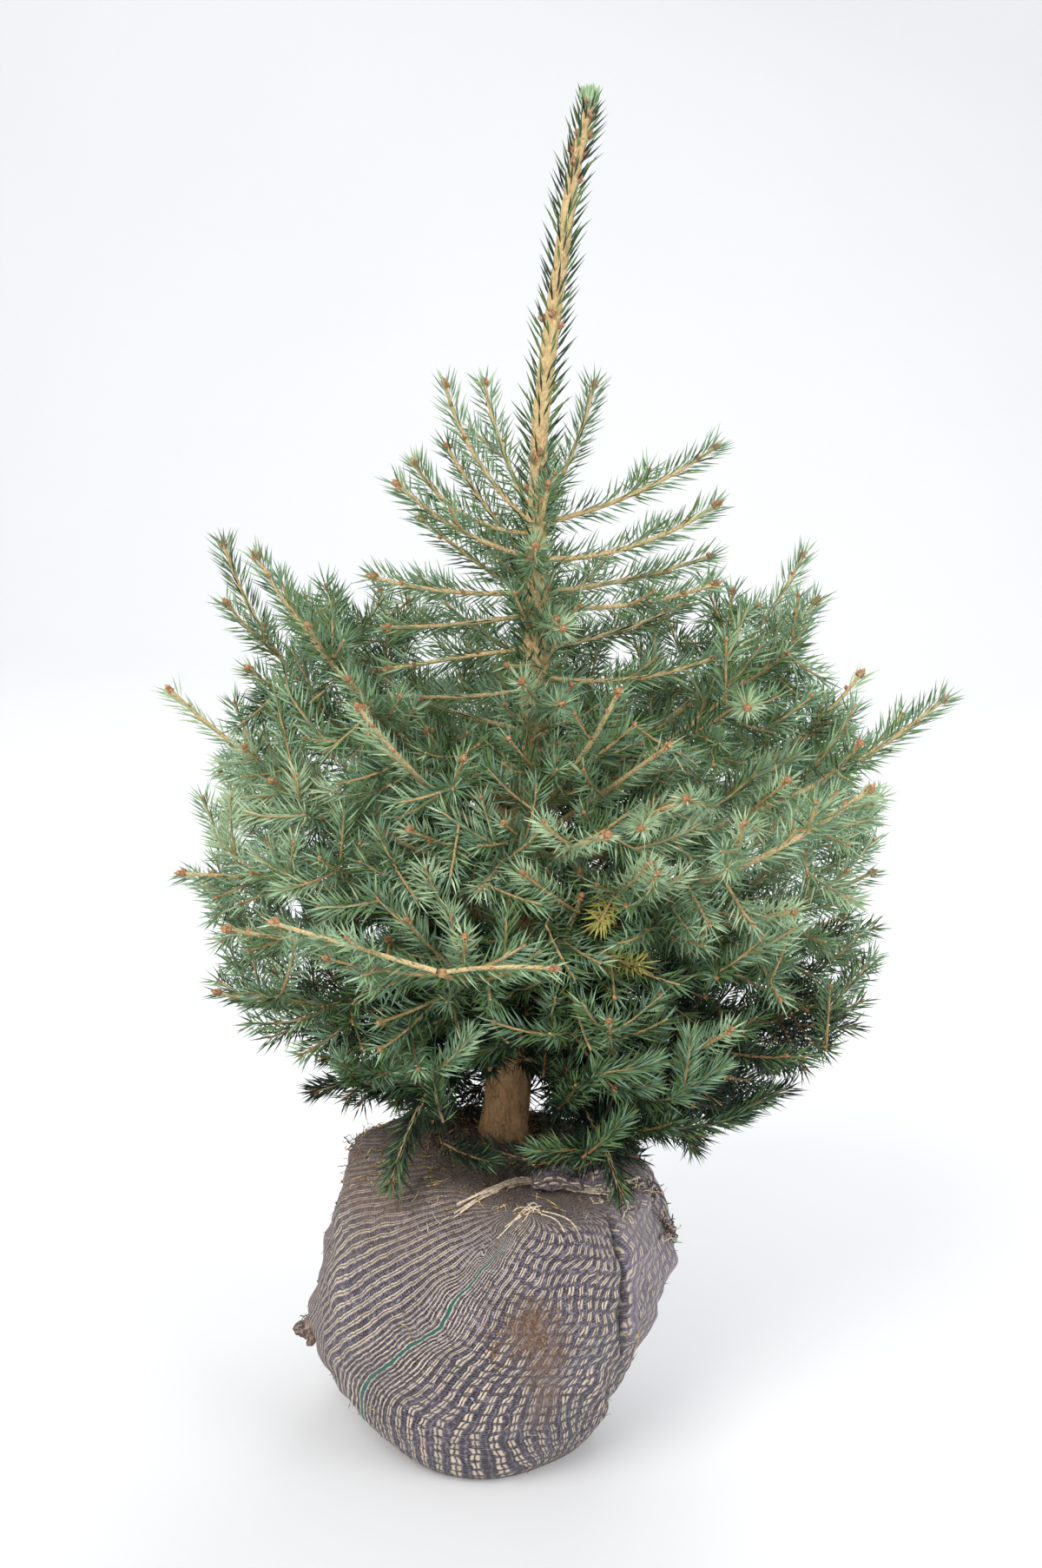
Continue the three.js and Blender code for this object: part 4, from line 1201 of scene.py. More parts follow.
class SAPLING_OT_stage(bpy.types.Operator):
    """Makes the floor, the soft lights, the even sky and the camera"""

    bl_idname = "sapling.stage"
    bl_label = "Stage"

    def execute(self, context):
        settings = context.scene.sapling_stage
        self.lay_floor(settings)
        self.hang_sky(context.scene, settings)
        context.scene.view_settings.view_transform = "Standard"
        for name, place, aim, size, power, tint in LIGHTS:
            lamp = bpy.data.lights.new(name, "AREA")
            lamp.shape, lamp.size, lamp.energy = "DISK", size, power * settings.light_power
            lamp.color = tint
            item = bpy.data.objects.new(name, lamp)
            item.location = place
            item.rotation_euler = (Vector(aim) - Vector(place)).to_track_quat("-Z", "Y").to_euler()
            context.scene.collection.objects.link(item)
        view = bpy.data.cameras.new("camera")
        view.lens, view.sensor_width, view.clip_start, view.clip_end = 50, 36, 0.05, 60
        camera = bpy.data.objects.new("camera", view)
        down = Matrix.Rotation(math.radians(90 - CAMERA_DOWN), 4, "X")
        turn = Matrix.Rotation(math.radians(CAMERA_TURN), 4, "Z")
        camera.matrix_world = Matrix.Translation(CAMERA_PLACE) @ (down @ turn)
        context.scene.collection.objects.link(camera)
        context.scene.camera = camera
        return {"FINISHED"}

    @staticmethod
    def lay_floor(settings):
        """A floor that bends up into a wall behind the tree."""
        profile = [(FLOOR_NEAR, 0.0), (FLOOR_WALL - FLOOR_BEND, 0.0)]
        for step in range(1, 13):
            angle = math.radians(90 * step / 12)
            profile.append((FLOOR_WALL - FLOOR_BEND + FLOOR_BEND * math.sin(angle),
                            FLOOR_BEND - FLOOR_BEND * math.cos(angle)))
        profile.append((FLOOR_WALL, WALL_TOP))
        points = [(x, y, z) for x in (-FLOOR_SIDE, FLOOR_SIDE) for y, z in profile]
        rows = len(profile)
        faces = [(i, rows + i, rows + i + 1, i + 1) for i in range(rows - 1)]
        floor = mesh_object("studio_floor", points, faces)
        material, graph, shader = new_material("plain_floor")
        tint = graph.mix(graph.ramp(graph.noise(place_of(graph), 1.3, 2), 0.3, 0.7),
                         settings.floor, dimmed(settings.floor, 0.985))
        graph.give(shader, Base_Color=tint, Roughness=0.7, Emission_Color=(0.985, 0.99, 1.0),
                   Emission_Strength=settings.floor_glow)
        floor.data.materials.append(material)
        floor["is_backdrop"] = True

    @staticmethod
    def hang_sky(scene, settings):
        """An even sky, a little brighter near the floor."""
        world = bpy.data.worlds.new("even_sky")
        world.use_nodes = True
        sky = Graph(world.node_tree)
        way = sky.add("ShaderNodeTexCoord").outputs["Generated"]
        height = sky.add("ShaderNodeSeparateXYZ", Vector=way).outputs[2]
        bright = sky.times(sky.ramp(height, -0.1, 0.9, 1.12, 1.0), settings.world_strength)
        sky.give(world.node_tree.nodes["Background"], Color=(0.985, 0.993, 1.0), Strength=bright)
        scene.world = world


class SAPLING_OT_trunk(bpy.types.Operator):
    """Makes the trunk with its bark relief, from the root flare to the tip of the leader"""

    bl_idname = "sapling.trunk"
    bl_label = "Trunk"

    def execute(self, context):
        heights = np.concatenate([np.arange(196.5, 640, 2.2), np.arange(640, 903.5, 3)])
        path = np.array([trunk_point(h) for h in heights])
        path[:, 2] = heights
        smooth = path.copy()
        for i in range(3, len(path) - 3):
            smooth[i, :2] = path[i - 3:i + 4, :2].mean(0)
        radii = np.array([trunk_radius(h) for h in heights])
        radii *= np.interp(heights, [650, 760, 860, 903], [1.0, 1.14, 1.26, 1.4])
        for _, rows in TIERS:
            for height, *_ in rows:
                radii += 0.55 * np.exp(-((heights - height) / 4.5) ** 2)
        for _, height, *_ in BOUGHS:
            radii += 0.5 * np.exp(-((heights - height) / 6) ** 2)
        flare = np.exp(-(heights - 200) / 9.0)

        def relief(share, turn, points):
            height = points[0, 2]
            fade = np.clip((700 - height) / 420, 0.12, 1)
            ridges = waves(points * [1, 1, 0.22], 6.5, 3) * 0.42
            lumps = waves(points * [1, 1, 0.6], 17, 4) * 0.55
            flutes = np.sin(5 * turn + 0.02 * height) * 1.6 * np.exp(-(height - 200) / 10.0)
            return (ridges + lumps) * fade + flutes

        piece = mesh_object("trunk_bark_skin", *tube(smooth, radii + flare * 0.4, 44, relief))
        piece.data.materials.append(trunk_material(context.scene.sapling_wood))
        belongs(piece, ["trunk"])
        return {"FINISHED"}


class SAPLING_OT_boughs(bpy.types.Operator):
    """Makes the main boughs with bark relief, and the stub of a bough that was cut off"""

    bl_idname = "sapling.boughs"
    bl_label = "Boughs and stub"

    def execute(self, context):
        crown, wood = crown_growth(), context.scene.sapling_wood
        bark = stem_material("bough_bark", wood.brown, wood.tan, wood)

        def relief(share, turn, points):
            return waves(points, 7, 8) * 0.28 + waves(points, 2.6, 9) * 0.1

        parts = []
        for name, path in crown.limbs.items():
            share, dense = evenly(path, 26)
            radii = LIMB_RADIUS + 0.2 + (LIMB_TIP_RADIUS - LIMB_RADIUS - 0.1) * share
            parts.append(tube(dense, radii + 2.0 * np.exp(-share * 9), 12, relief))
        piece = mesh_object("bough_bark_skins", *join_parts(parts))
        piece.data.materials.append(bark)
        belongs(piece, ["bough_" + name for name in crown.limbs])

        share, dense = evenly(crown.stub.points, 24)
        radii = STUB_RADIUS + (STUB_TIP_RADIUS - STUB_RADIUS) * share + 1.6 * np.exp(-share * 8)
        stub = mesh_object("pruned_stub_skin", *tube(dense, radii, 14, relief))
        stub.data.materials.append(bark)
        cut, graph, shader = new_material("cut_wood")
        place = place_of(graph)
        rings = graph.add("ShaderNodeTexWave", {"wave_type": "RINGS", "rings_direction": "SPHERICAL"},
                          Vector=graph.vector("SUBTRACT", place, tuple(dense[-1] * MM)),
                          Scale=420, Distortion=1.5, Detail=2).outputs["Fac"]
        graph.give(shader, Base_Color=graph.mix(rings, wood.cut, wood.tan), Roughness=0.8)
        stub.data.materials.append(cut)
        tip = len(stub.data.vertices) - 1
        for face in stub.data.polygons:
            if tip in face.vertices:
                face.material_index = 1
                face.use_smooth = False
        belongs(stub, ["pruned_stub"])
        return {"FINISHED"}


class SAPLING_OT_twigs(bpy.types.Operator):
    """Makes the stems of all shoots: golden on new growth and brown on older wood, and darker low down as
    painted shade
    """

    bl_idname = "sapling.twigs"
    bl_label = "Twigs"

    def execute(self, context):
        crown, wood = crown_growth(), context.scene.sapling_wood
        tree = stem_tree()
        young = stem_material("young_stem", wood.tan, wood.brown, wood)
        older = stem_material("older_stem", wood.gold, wood.tan, wood)
        # Twigs that end low down get this darker bark as painted shade.
        shaded = stem_material("shaded_stem", wood.brown, wood.crack, wood)
        for name, material, chosen, sides in (
                ("older_twigs", older, lambda s: s.order == 1, 7),
                ("young_twigs", young, lambda s: s.order > 1 and s.points[-1, 2] >= SHADED_BELOW, 5),
                ("shaded_twigs", shaded, lambda s: s.order > 1 and s.points[-1, 2] < SHADED_BELOW, 5)):
            stems = [s for s in crown.shoots if chosen(s)]
            rows = []
            for stem in stems:
                last = len(stem.points) - 1
                kept = [*range(0, last, 1 if stem.order == 1 else 2), last]
                rows.append((stem.points[kept], {"girth": girths(stem)[kept]}))
            piece = made_by(tree, path_mesh(name, rows), {"Sides": sides, "Material": material})
            belongs(piece, sorted({s.node for s in stems}))
        return {"FINISHED"}


NEEDLES_A_PIECE = 33000
# The leader's needles: height, share kept, size, tone, lean.
LEADER_NEEDLES = {
    "keep": ([452, 520, 600, 655, 700], [0.85, 1, 1, 0.95, 0.88]),
    "size": ([452, 650, 880, 900], [1.05, 1.14, 1.08, 0.8]),
    "tone": ([452, 640, 700, 900], [2.0, 1.9, 1.3, 1.2]),
    "lean": ([452, 600, 660, 900], [-0.02, -0.08, -0.16, -0.26])}
LEADER_SPACING, LEADER_THICKNESS = 0.00085, 1.35


class SAPLING_OT_needles(bpy.types.Operator):
    """Makes the needles of all sprays and of the leader, in pieces that share the crown out"""

    bl_idname = "sapling.needles"
    bl_label = "Needles"

    def execute(self, context):
        crown, settings = crown_growth(), context.scene.sapling_needles
        materials = needle_materials(settings)
        tree, shape = needle_tree(materials), needle_shape(settings)
        shape.data.materials.append(materials[0])
        inputs = {"Needle": shape, "Spacing": settings.spacing, "Lean": settings.lean,
                  "Lift": settings.lift, "Thickness": 1.0, "Seed": settings.seed,
                  **{material.name: material for material in materials}}
        for number, group in enumerate(self.shared_out(crown, settings.spacing)):
            rows = [(stem.points, {"girth": girths(stem), "keep": keep, "size": size, "tone": tone,
                                   "part": part, "lean": np.linspace(0.1, -0.25, len(stem.points)) + lean})
                    for stem, keep, size, tone, part, lean in group]
            piece = made_by(tree, path_mesh(f"needles_{number + 1}", rows), inputs)
            belongs(piece, sorted({row[0].node for row in group}))
        heights = np.arange(452, 900, 4)
        numbers = {key: np.interp(heights, *table) for key, table in LEADER_NEEDLES.items()}
        numbers.update(girth=trunk_radius(heights) * 1.1, part=0.0)
        source = path_mesh("needles_leader", [(np.array([trunk_point(h) for h in heights]), numbers)])
        piece = made_by(tree, source, {**inputs, "Spacing": LEADER_SPACING, "Thickness": LEADER_THICKNESS})
        belongs(piece, ["leader_needles"])
        discard(shape)
        return {"FINISHED"}

    @staticmethod
    def shared_out(crown, spacing):
        """The sprays in groups of a like number of needles, with each mass kept together."""
        groups, room = [], 0
        order = {name: i for i, name in enumerate(dict.fromkeys(s.node for s in crown.shoots))}
        for row in sorted(sprays(crown), key=lambda row: order[row[0].node]):
            need = row[0].length * MM / spacing * row[1].mean() * 1.02 + 4
            if not groups or room + need > NEEDLES_A_PIECE:
                groups.append([])
                room = 0
            room += need
            groups[-1].append(row)
        return groups


class Places:
    """Places, directions and sizes at which a small shape is set out."""

    def __init__(self):
        self.points, self.ways, self.sizes = [], [], []

    def add(self, point, way, size):
        self.points.append(point)
        self.ways.append(way / np.linalg.norm(way))
        self.sizes.append(size)


def set_out(name, points, ways, sizes, shape, material):
    """A piece made of one small shape at many points."""
    source = mesh_object(name, np.array(points))
    add_numbers(source.data, "way", np.array(ways), "FLOAT_VECTOR")
    add_numbers(source.data, "size", sizes)
    piece = made_by(bud_tree(), source, {"Bud": shape, "Seed": 4, "Material": material})
    belongs(piece)


class SAPLING_OT_buds(bpy.types.Operator):
    """Makes the resting buds at the ends of shoots, along them and up the leader"""

    bl_idname = "sapling.buds"
    bl_label = "Buds"

    def execute(self, context):
        crown, chance, wood = crown_growth(), lehmer(83), context.scene.sapling_wood
        buds, leader, shape = Places(), Places(), bud_shape()
        for stem in crown.shoots:
            self.along_shoot(buds, stem, stem.order == 1 or stem in crown.stars, chance)
        for height, turn in LEADER_BUDS:
            out = heading(turn, 10)
            leader.add(trunk_point(height) + out * (trunk_radius(height) * 1.1), out * 0.9 + UP,
                       1.2 + 0.3 * chance())
        for name, places, tint in (("buds", buds, wood.bud), ("leader_buds", leader, wood.bud_dark)):
            scales = bud_material(name + "_scales", tint, wood.bud_edge)
            if not shape.data.materials:
                shape.data.materials.append(scales)
            set_out(name, places.points, places.ways, places.sizes, shape, scales)
        self.tuft(chance, context.scene.sapling_needles)
        discard(shape)
        return {"FINISHED"}

    @staticmethod
    def along_shoot(buds, stem, main, chance):
        """Buds round the end of a shoot, and single ones down a main or long one."""
        ahead = stem.points[-1] - stem.points[-2]

        def cluster(side_count, size):
            end, way = stem.points[-1], ahead / np.linalg.norm(ahead)
            level = np.cross(way, UP)
            steep = np.linalg.norm(level) <= 0.1
            level = np.array([1.0, 0, 0]) if steep else level / np.linalg.norm(level)
            upright = np.cross(level, way)
            buds.add(end - way * 1.2, way, size)
            start = chance() * 6.28
            for i in range(side_count):
                turn = start + 2 * math.pi * i / side_count
                out = level * math.cos(turn) + upright * math.sin(turn)
                buds.add(end - way * (2.4 + chance()) + out * 0.7, way + out * (0.8 + 0.4 * chance()),
                         size * (0.6 + 0.2 * chance()))

        if main or stem.length > 58:
            cluster(3 if main else 2, 0.95 + 0.3 * chance())
        elif stem.order < 3 or chance() < 0.45:
            cluster(0, 0.7 + 0.2 * chance())
        at = stem.length - 14 - 10 * chance()
        while (main or stem.length > 75) and at > max(12, stem.length - 80):
            out = np.cross(ahead, heading(stem.toward + 360 * chance(), 60 - 120 * chance()))
            out /= np.linalg.norm(out)
            buds.add(stem.at(at) + out * 0.9, out + ahead / np.linalg.norm(ahead) * 0.9,
                     (0.62 if main else 0.5) + 0.25 * chance())
            at -= 22 + 30 * chance()

    @staticmethod
    def tuft(chance, settings):
        """Short needles that stand upright round the end bud."""
        end, places, count = trunk_point(896), Places(), 64
        for i in range(count):
            reach, turn = 5.4 * math.sqrt((i + 0.5) / count), math.radians(GOLDEN * i)
            out = np.array([math.cos(turn), math.sin(turn), 0])
            places.add(end + out * reach * 0.8 + UP * (2 - reach * 0.5), out * (0.05 + 0.035 * reach) + UP,
                       0.92 + 0.16 * chance())
        green = bpy.data.materials["needles_light"].copy()
        green.name = "tuft_green"
        needle = needle_shape(settings)
        needle.data.transform(Matrix.Diagonal((1.5, 1.5, 0.72, 1)))
        needle.data.materials.append(green)
        set_out("leader_tuft", places.points, places.ways, places.sizes, needle, green)
        discard(needle)


# ---- Root ball -------------------------------------------------------------------------------


def smooth_reach(height, angle):
    """Reach of the cloth, with the profile's corners rounded off."""
    heights = [np.clip(height + off, 0, BALL_TOP) for off in (-4, -2, 0, 2, 4)]
    return sum(reach_at(BALL_PROFILE, near, angle) for near in heights) / len(heights)


# The tan yarns spread from the place where the cloth is gathered. Each row is one yarn: its distance
# from the marker yarn in the flat cloth, and places that it runs through, from the gather outwards.
GATHER = (33, -71, 198)
YARN_LINES = {
    -172: [(-34, 31, 200), (-59, 23, 200), (-81, 27, 197)],
    -143: [(-43, -12, 200), (-60, -12, 200), (-78, -8, 199)],
    -120: [(-32, -30, 200), (-52, -39, 200), (-71, -37, 198), (-89, -29, 190)],
    -99: [(-17, -56, 200), (-34, -54, 200), (-51, -59, 198), (-67, -60, 193), (-83, -50, 185),
        (-99, -22, 164)],
    -82: [(-6, -70, 199), (-30, -75, 197), (-46, -78, 193), (-63, -72, 187), (-79, -64, 177),
        (-96, -41, 156)],
    -65: [(4, -79, 197), (-14, -83, 196), (-29, -87, 192), (-60, -85, 174), (-79, -72, 157),
        (-98, -46, 134)],
    -52: [(16, -81, 197), (1, -87, 195), (-33, -97, 182), (-50, -95, 170), (-84, -73, 133),
        (-103, -49, 104)],
    -39: [(10, -94, 190), (-5, -100, 185), (-37, -104, 166), (-54, -99, 152), (-89, -71, 111),
        (-106, -48, 85)],
    -25: [(2, -105, 179), (-14, -109, 169), (-42, -107, 146), (-58, -100, 130), (-94, -69, 85),
        (-104, -55, 68)],
    -10: [(26, -79, 197), (0, -104, 180), (-22, -112, 158), (-29, -113, 145), (-48, -107, 123),
        (-83, -83, 78)],
    0: [(33, -71, 198), (16, -92, 191), (1, -109, 172), (-24, -116, 132), (-56, -103, 96), (-77, -83, 48)],
    10: [(29, -84, 195), (12, -104, 178), (-6, -116, 151), (-19, -117, 126), (-54, -103, 86),
        (-69, -86, 43)],
    31: [(37, -80, 195), (28, -103, 177), (11, -116, 147), (-16, -118, 112), (-48, -103, 65),
        (-47, -88, 24)],
    47: [(44, -84, 192), (36, -110, 161), (24, -117, 128), (2, -117, 92), (-24, -107, 49), (-24, -85, 9)],
    59: [(55, -80, 190), (47, -106, 160), (37, -114, 125), (26, -116, 106), (5, -113, 65), (2, -95, 18)],
    69: [(63, -77, 189), (57, -103, 158), (50, -110, 121), (39, -113, 102), (23, -109, 62), (36, -78, 9)],
    80: [(70, -75, 188), (68, -99, 156), (67, -103, 137), (53, -107, 99), (42, -108, 81), (40, -96, 40)],
    92: [(78, -76, 184), (80, -93, 154), (78, -97, 136), (66, -100, 98), (56, -102, 82), (53, -88, 39)],
    105: [(84, -74, 181), (94, -85, 143), (93, -85, 118), (81, -84, 82), (71, -89, 71), (68, -74, 37)],
    122: [(103, -57, 179), (110, -64, 162), (111, -64, 117), (105, -64, 98), (88, -64, 59), (80, -63, 43)],
}
ROUND_CLOTH = 694.4  # the cloth's width all round the ball, a whole number of pairs


def round_gather(points):
    """Turn about the line through the gather and the middle of the ball, cut at the left back."""
    axis = np.array(GATHER, float) - (0, 0, 100)
    axis /= np.linalg.norm(axis)
    side = np.cross(axis, (-0.82, 0.57, 0.0))
    side /= np.linalg.norm(side)
    start = np.cross(side, axis)
    off = points - (0, 0, 100)
    return np.mod(np.arctan2(off @ side, off @ start), 2 * math.pi)


def yarn_map(points):
    """For each point of the cloth: distance across the yarns and distance along them."""
    known, across, along = [], [], []
    for distance, places in YARN_LINES.items():
        run = np.array([GATHER, *places], float)
        length = np.cumsum(np.linalg.norm(np.diff(run, axis=0), axis=1))
        known += places
        across += [distance] * len(places)
        along += length.tolist()
    for turn in range(-10, 166, 25):
        angle = math.radians(turn)
        for height in (190, 150, 100, 50):
            reach, top = (float(reach_at(BALL_PROFILE, z, angle)) for z in (height, 196))
            known.append((reach * math.cos(angle), reach * math.sin(angle), height))
            across.append(122 + (turn + 30) / 195 * 398)
            along.append(math.dist((top * math.cos(angle), top * math.sin(angle)), GATHER[:2]) + 200 - height)
    known = np.array(known, float)
    spin = round_gather(known)
    share = ROUND_CLOTH / (2 * math.pi)
    rest = np.mod(np.array(across) - spin * share + 170 + ROUND_CLOTH / 2, ROUND_CLOTH)
    targets = np.stack([rest - ROUND_CLOTH / 2 - 170, np.array(along)], 1)
    gaps = np.linalg.norm(known[:, None] - known[None], axis=2)
    system = np.zeros((len(known) + 1, len(known) + 1))
    system[:-1, :-1] = gaps - 1.5 * np.eye(len(known))
    system[:-1, -1] = system[-1, :-1] = 1
    weights = np.linalg.solve(system, np.vstack([targets, [[0, 0]]]))
    found = np.linalg.norm(points[:, None] - known[None], axis=2) @ weights[:-1] + weights[-1]
    found[:, 0] += round_gather(points) * share
    return found


# Coloured flecks in the grey yarn: colour, scale, least of the noise.
FLECKS = (("8a5560", 310, 0.71), ("6f7fa0", 270, 0.70), ("e4e0e4", 380, 0.72))


def place_on_cloth(graph, place):
    """Distance across and along the yarns in millimetres, with the yarns pulled a little out of line."""
    weave = graph.add("ShaderNodeUVMap", {"uv_map": "weave"}).outputs[0]
    spot = graph.vector("MULTIPLY", weave, (100.0, 100.0, 0))
    for scale, size in ((22.0, 3.8), (65.0, 3.0), (170.0, 1.9)):
        pull = graph.vector("SUBTRACT", noise_vector(graph, place, scale), (0.5, 0.5, 0.5))
        spot = graph.vector("ADD", spot, graph.vector("MULTIPLY", pull, (size, size, 0)))
    parts = graph.add("ShaderNodeSeparateXYZ", Vector=spot)
    return parts.outputs[0], parts.outputs[1]


def tan_yarns(graph, place, across, along, pair, plain):
    """Where the tan yarns lie, how much of each comes to the top, how worn it is, and the marker yarn.

    The tan yarns run in pairs over most of the cloth, and close together on both sides of the marker.
    """
    def wrap(value, period):
        return graph.times(graph.math("FRACT", graph.math("DIVIDE", value, period)), period)

    from_marker = graph.math("ABSOLUTE", across)
    band = graph.near(from_marker, 0.0, 19, 3)
    paired = wrap(across, pair)
    tan = graph.math("MAXIMUM", graph.near(paired, pair * 0.37, 0.5, 0.5),
                     graph.near(paired, pair * 0.63, 0.5, 0.5))
    close = graph.near(wrap(from_marker, 3.1), 1.55, 0.55, 0.5)
    tan = graph.add("ShaderNodeMix", {"data_type": "FLOAT"}, Factor=band, A=tan, B=close).outputs[0]
    row = graph.math("FLOOR", graph.math("DIVIDE", across, pair))
    stagger = graph.math("FRACT", graph.times(row, 0.618))
    beat = graph.plus(graph.math("DIVIDE", along, 8.2), stagger)
    uneven = graph.times(graph.minus(graph.noise(place, 80, 2), 0.5), 1.6)
    dash = graph.plus(graph.math("SINE", graph.times(beat, 2 * math.pi)), uneven)
    dash = graph.ramp(dash, graph.ramp(across, 20, 70, -1.0, -0.75), graph.ramp(across, 20, 70, -0.6, -0.15),
                      graph.ramp(across, -30, 50, 0.6, 0.06), 1.0)
    own = graph.add("ShaderNodeTexWhiteNoise", {"noise_dimensions": "1D"}, W=row).outputs["Value"]
    worn = graph.ramp(graph.noise(place, 30, 3), 0.36, 0.58, 0.68, 1.0)
    worn = graph.times(worn, graph.ramp(own, 0.0, 1.0, 0.84, 1.0, smooth=False))
    worn = graph.times(worn, graph.ramp(plain, 0.0, 1.0, 1.0, 0.8, smooth=False))
    return tan, dash, worn, graph.near(from_marker, 0.0, 1.15, 0.6)


def grey_yarn(graph, settings, place, yarn, fluff, plain):
    """Colour of the reclaimed yarn: mottled, flecked, and darker in broad patches, with painted highlights on
    the yarn tops and painted light on the plain cloth.
    """
    mottle = graph.noise(place, 300, 4, 0.65)
    grey = graph.mix(graph.ramp(mottle, 0.45, 0.68), settings.weft, settings.weft_light)
    grey = graph.mix(graph.ramp(fluff, 0.36, 0.7, 0.0, 0.6), grey, dimmed(settings.weft, 0.35))
    for code, scale, least in FLECKS:
        flecks = graph.noise(graph.vector("ADD", place, (scale * 0.01, 0, 0)), scale, 1)
        grey = graph.mix(graph.ramp(flecks, least, least + 0.03, 0.0, 0.8), grey, srgb(code))
    # Painted highlight on the tops of the yarns.
    grey = graph.mix(graph.ramp(yarn, 0.86, 1.0, 0.0, 0.3), grey, settings.weft_light)
    # The plain, felted cloth right of the fold is painted lighter, as painted light.
    grey = graph.mix(graph.times(plain, 0.45), grey, settings.weft_light)
    patches = graph.ramp(graph.noise(place, 16, 2), 0.35, 0.65, 0.0, 0.3)
    return graph.mix(patches, grey, dimmed(settings.weft, 0.45))


def soiled(graph, settings, place, tint):
    """Soil dust and crumbs over a colour, as far as the piece's dust says."""
    patchy = graph.ramp(graph.noise(place, 85, 5, 0.7), 0.3, 0.62, 0.3, 1.0)
    dust = graph.times(attribute(graph, "dust"), patchy)
    crumbs = graph.ramp(graph.noise(place, 520, 5, 0.75), 0.36, 0.66)
    soil = graph.mix(crumbs, dimmed(settings.soil, 0.6), dimmed(settings.soil, 2.1))
    return graph.mix(graph.math("MINIMUM", dust, 0.93), tint, soil)


def weave_material(settings):
    """Cloth of grey reclaimed yarn with pairs of tan yarn, on the piece's own weave map, with painted shade
    in its gaps, beside the tan yarns and in the fold's slit.
    """
    material, graph, shader = new_material("sacking_weave")
    place = place_of(graph)
    across, along = place_on_cloth(graph, place)
    pitch, pair = settings.yarn_pitch / MM, settings.pair_pitch / MM
    plain = attribute(graph, "plain")
    tan, dash, worn, marker = tan_yarns(graph, place, across, along, pair, plain)

    cross = graph.math("SINE", graph.times(along, 2 * math.pi / pitch))
    down = graph.math("SINE", graph.times(across, 2 * math.pi / (pair / 3)))
    yarn = graph.math("MAXIMUM", graph.math("MULTIPLY_ADD", cross, 0.5, 0.5),
                      graph.math("MULTIPLY_ADD", down, 0.5, 0.5))
    # Painted shade in the gaps between the yarns: patchy, and as strong as the cloth is open.
    painted_gap_shade = graph.ramp(yarn, 0.38, 0.86, 1.0, 0.0)
    patchy = graph.ramp(graph.noise(place, 34, 3), 0.34, 0.6, 0.45, 1.0)
    painted_gap_shade = graph.times(graph.times(painted_gap_shade, patchy), attribute(graph, "open"))
    fluff = graph.noise(place, 1300, 3, 0.7)
    tint = graph.mix(painted_gap_shade, grey_yarn(graph, settings, place, yarn, fluff, plain), settings.painted_shade)
    tan_tint = graph.mix(graph.ramp(fluff, 0.35, 0.7), settings.tan, dimmed(settings.tan, 0.82))
    tan_share = graph.times(graph.times(tan, dash), worn)
    # Painted shade along both sides of each tan yarn, where it stands above the grey.
    edge = graph.times(graph.ramp(tan, 0.05, 0.45), graph.ramp(tan, 0.45, 0.85, 1.0, 0.0))
    tint = graph.mix(graph.times(edge, 0.8), tint, settings.painted_shade)
    tint = graph.mix(graph.times(tan_share, 0.95), tint, tan_tint)
    tint = graph.mix(graph.times(marker, graph.ramp(dash, 0.1, 0.9, 0.7, 1.0)), tint,
                     graph.mix(fluff, settings.marker, dimmed(settings.marker, 0.4)))
    # Painted shade: the slit of the long fold is painted near black.
    tint = graph.mix(attribute(graph, "slit"), tint, dimmed(settings.painted_shade, 0.6))
    graph.give(shader, Base_Color=soiled(graph, settings, place, tint), Roughness=0.95,
               Specular_IOR_Level=0.15, Sheen_Weight=0.2, Sheen_Roughness=0.6)
    relief = graph.plus(graph.times(yarn, 0.6), graph.times(tan_share, 0.8))
    bumped(graph, shader, graph.plus(relief, graph.times(fluff, 0.5)), 0.0012, 0.9)
    return material


def cloth_trim(height, turn):
    """Places where the bundle is drawn in or stands out from the plain rounded outline."""
    degrees = np.degrees(turn)

    def bump(centre, wide, middle, tall):
        return np.exp(-(signed_turn(degrees - centre) / wide) ** 2) * np.exp(-((height - middle) / tall) ** 2)

    return (-17 * bump(-165, 36, 22, 36) - 8 * bump(-6, 26, 172, 20) - 4 * bump(-4, 24, 128, 34)
            + 12 * bump(158, 24, 200, 12) + 9 * bump(-20, 26, 4, 26) + 4 * bump(-85, 30, 2, 16)
            + 3 * bump(180, 14, 84, 12) + 8 * bump(-12, 32, 198, 16))


FOLD_HEIGHTS = [84, 99, 112, 136, 154, 169, 182, 198]
FOLD_TURNS = [-34, -37.5, -41, -41.5, -40.5, -41, -39.5, -36]
# Creases: direction, tilt, width, height, lowest place.
CREASES = (
    (-72, 0.05, 4.5, 1.8, 110), (-95, -0.16, 5, 1.6, 96), (-125, -0.3, 6, 1.8, 90), (-18, 0.1, 5, 2.0, 80),
    (8, 0.12, 6, 1.6, 70), (45, 0.15, 7, 2.2, 60), (78, -0.1, 6, 1.8, 80), (110, 0.12, 7, 2.2, 60),
    (150, -0.2, 7, 2.0, 70), (-160, -0.25, 6, 1.4, 100))


def from_fold(height, degrees):
    """Turn from the long fold, in degrees."""
    return signed_turn(degrees - np.interp(height, FOLD_HEIGHTS, FOLD_TURNS))


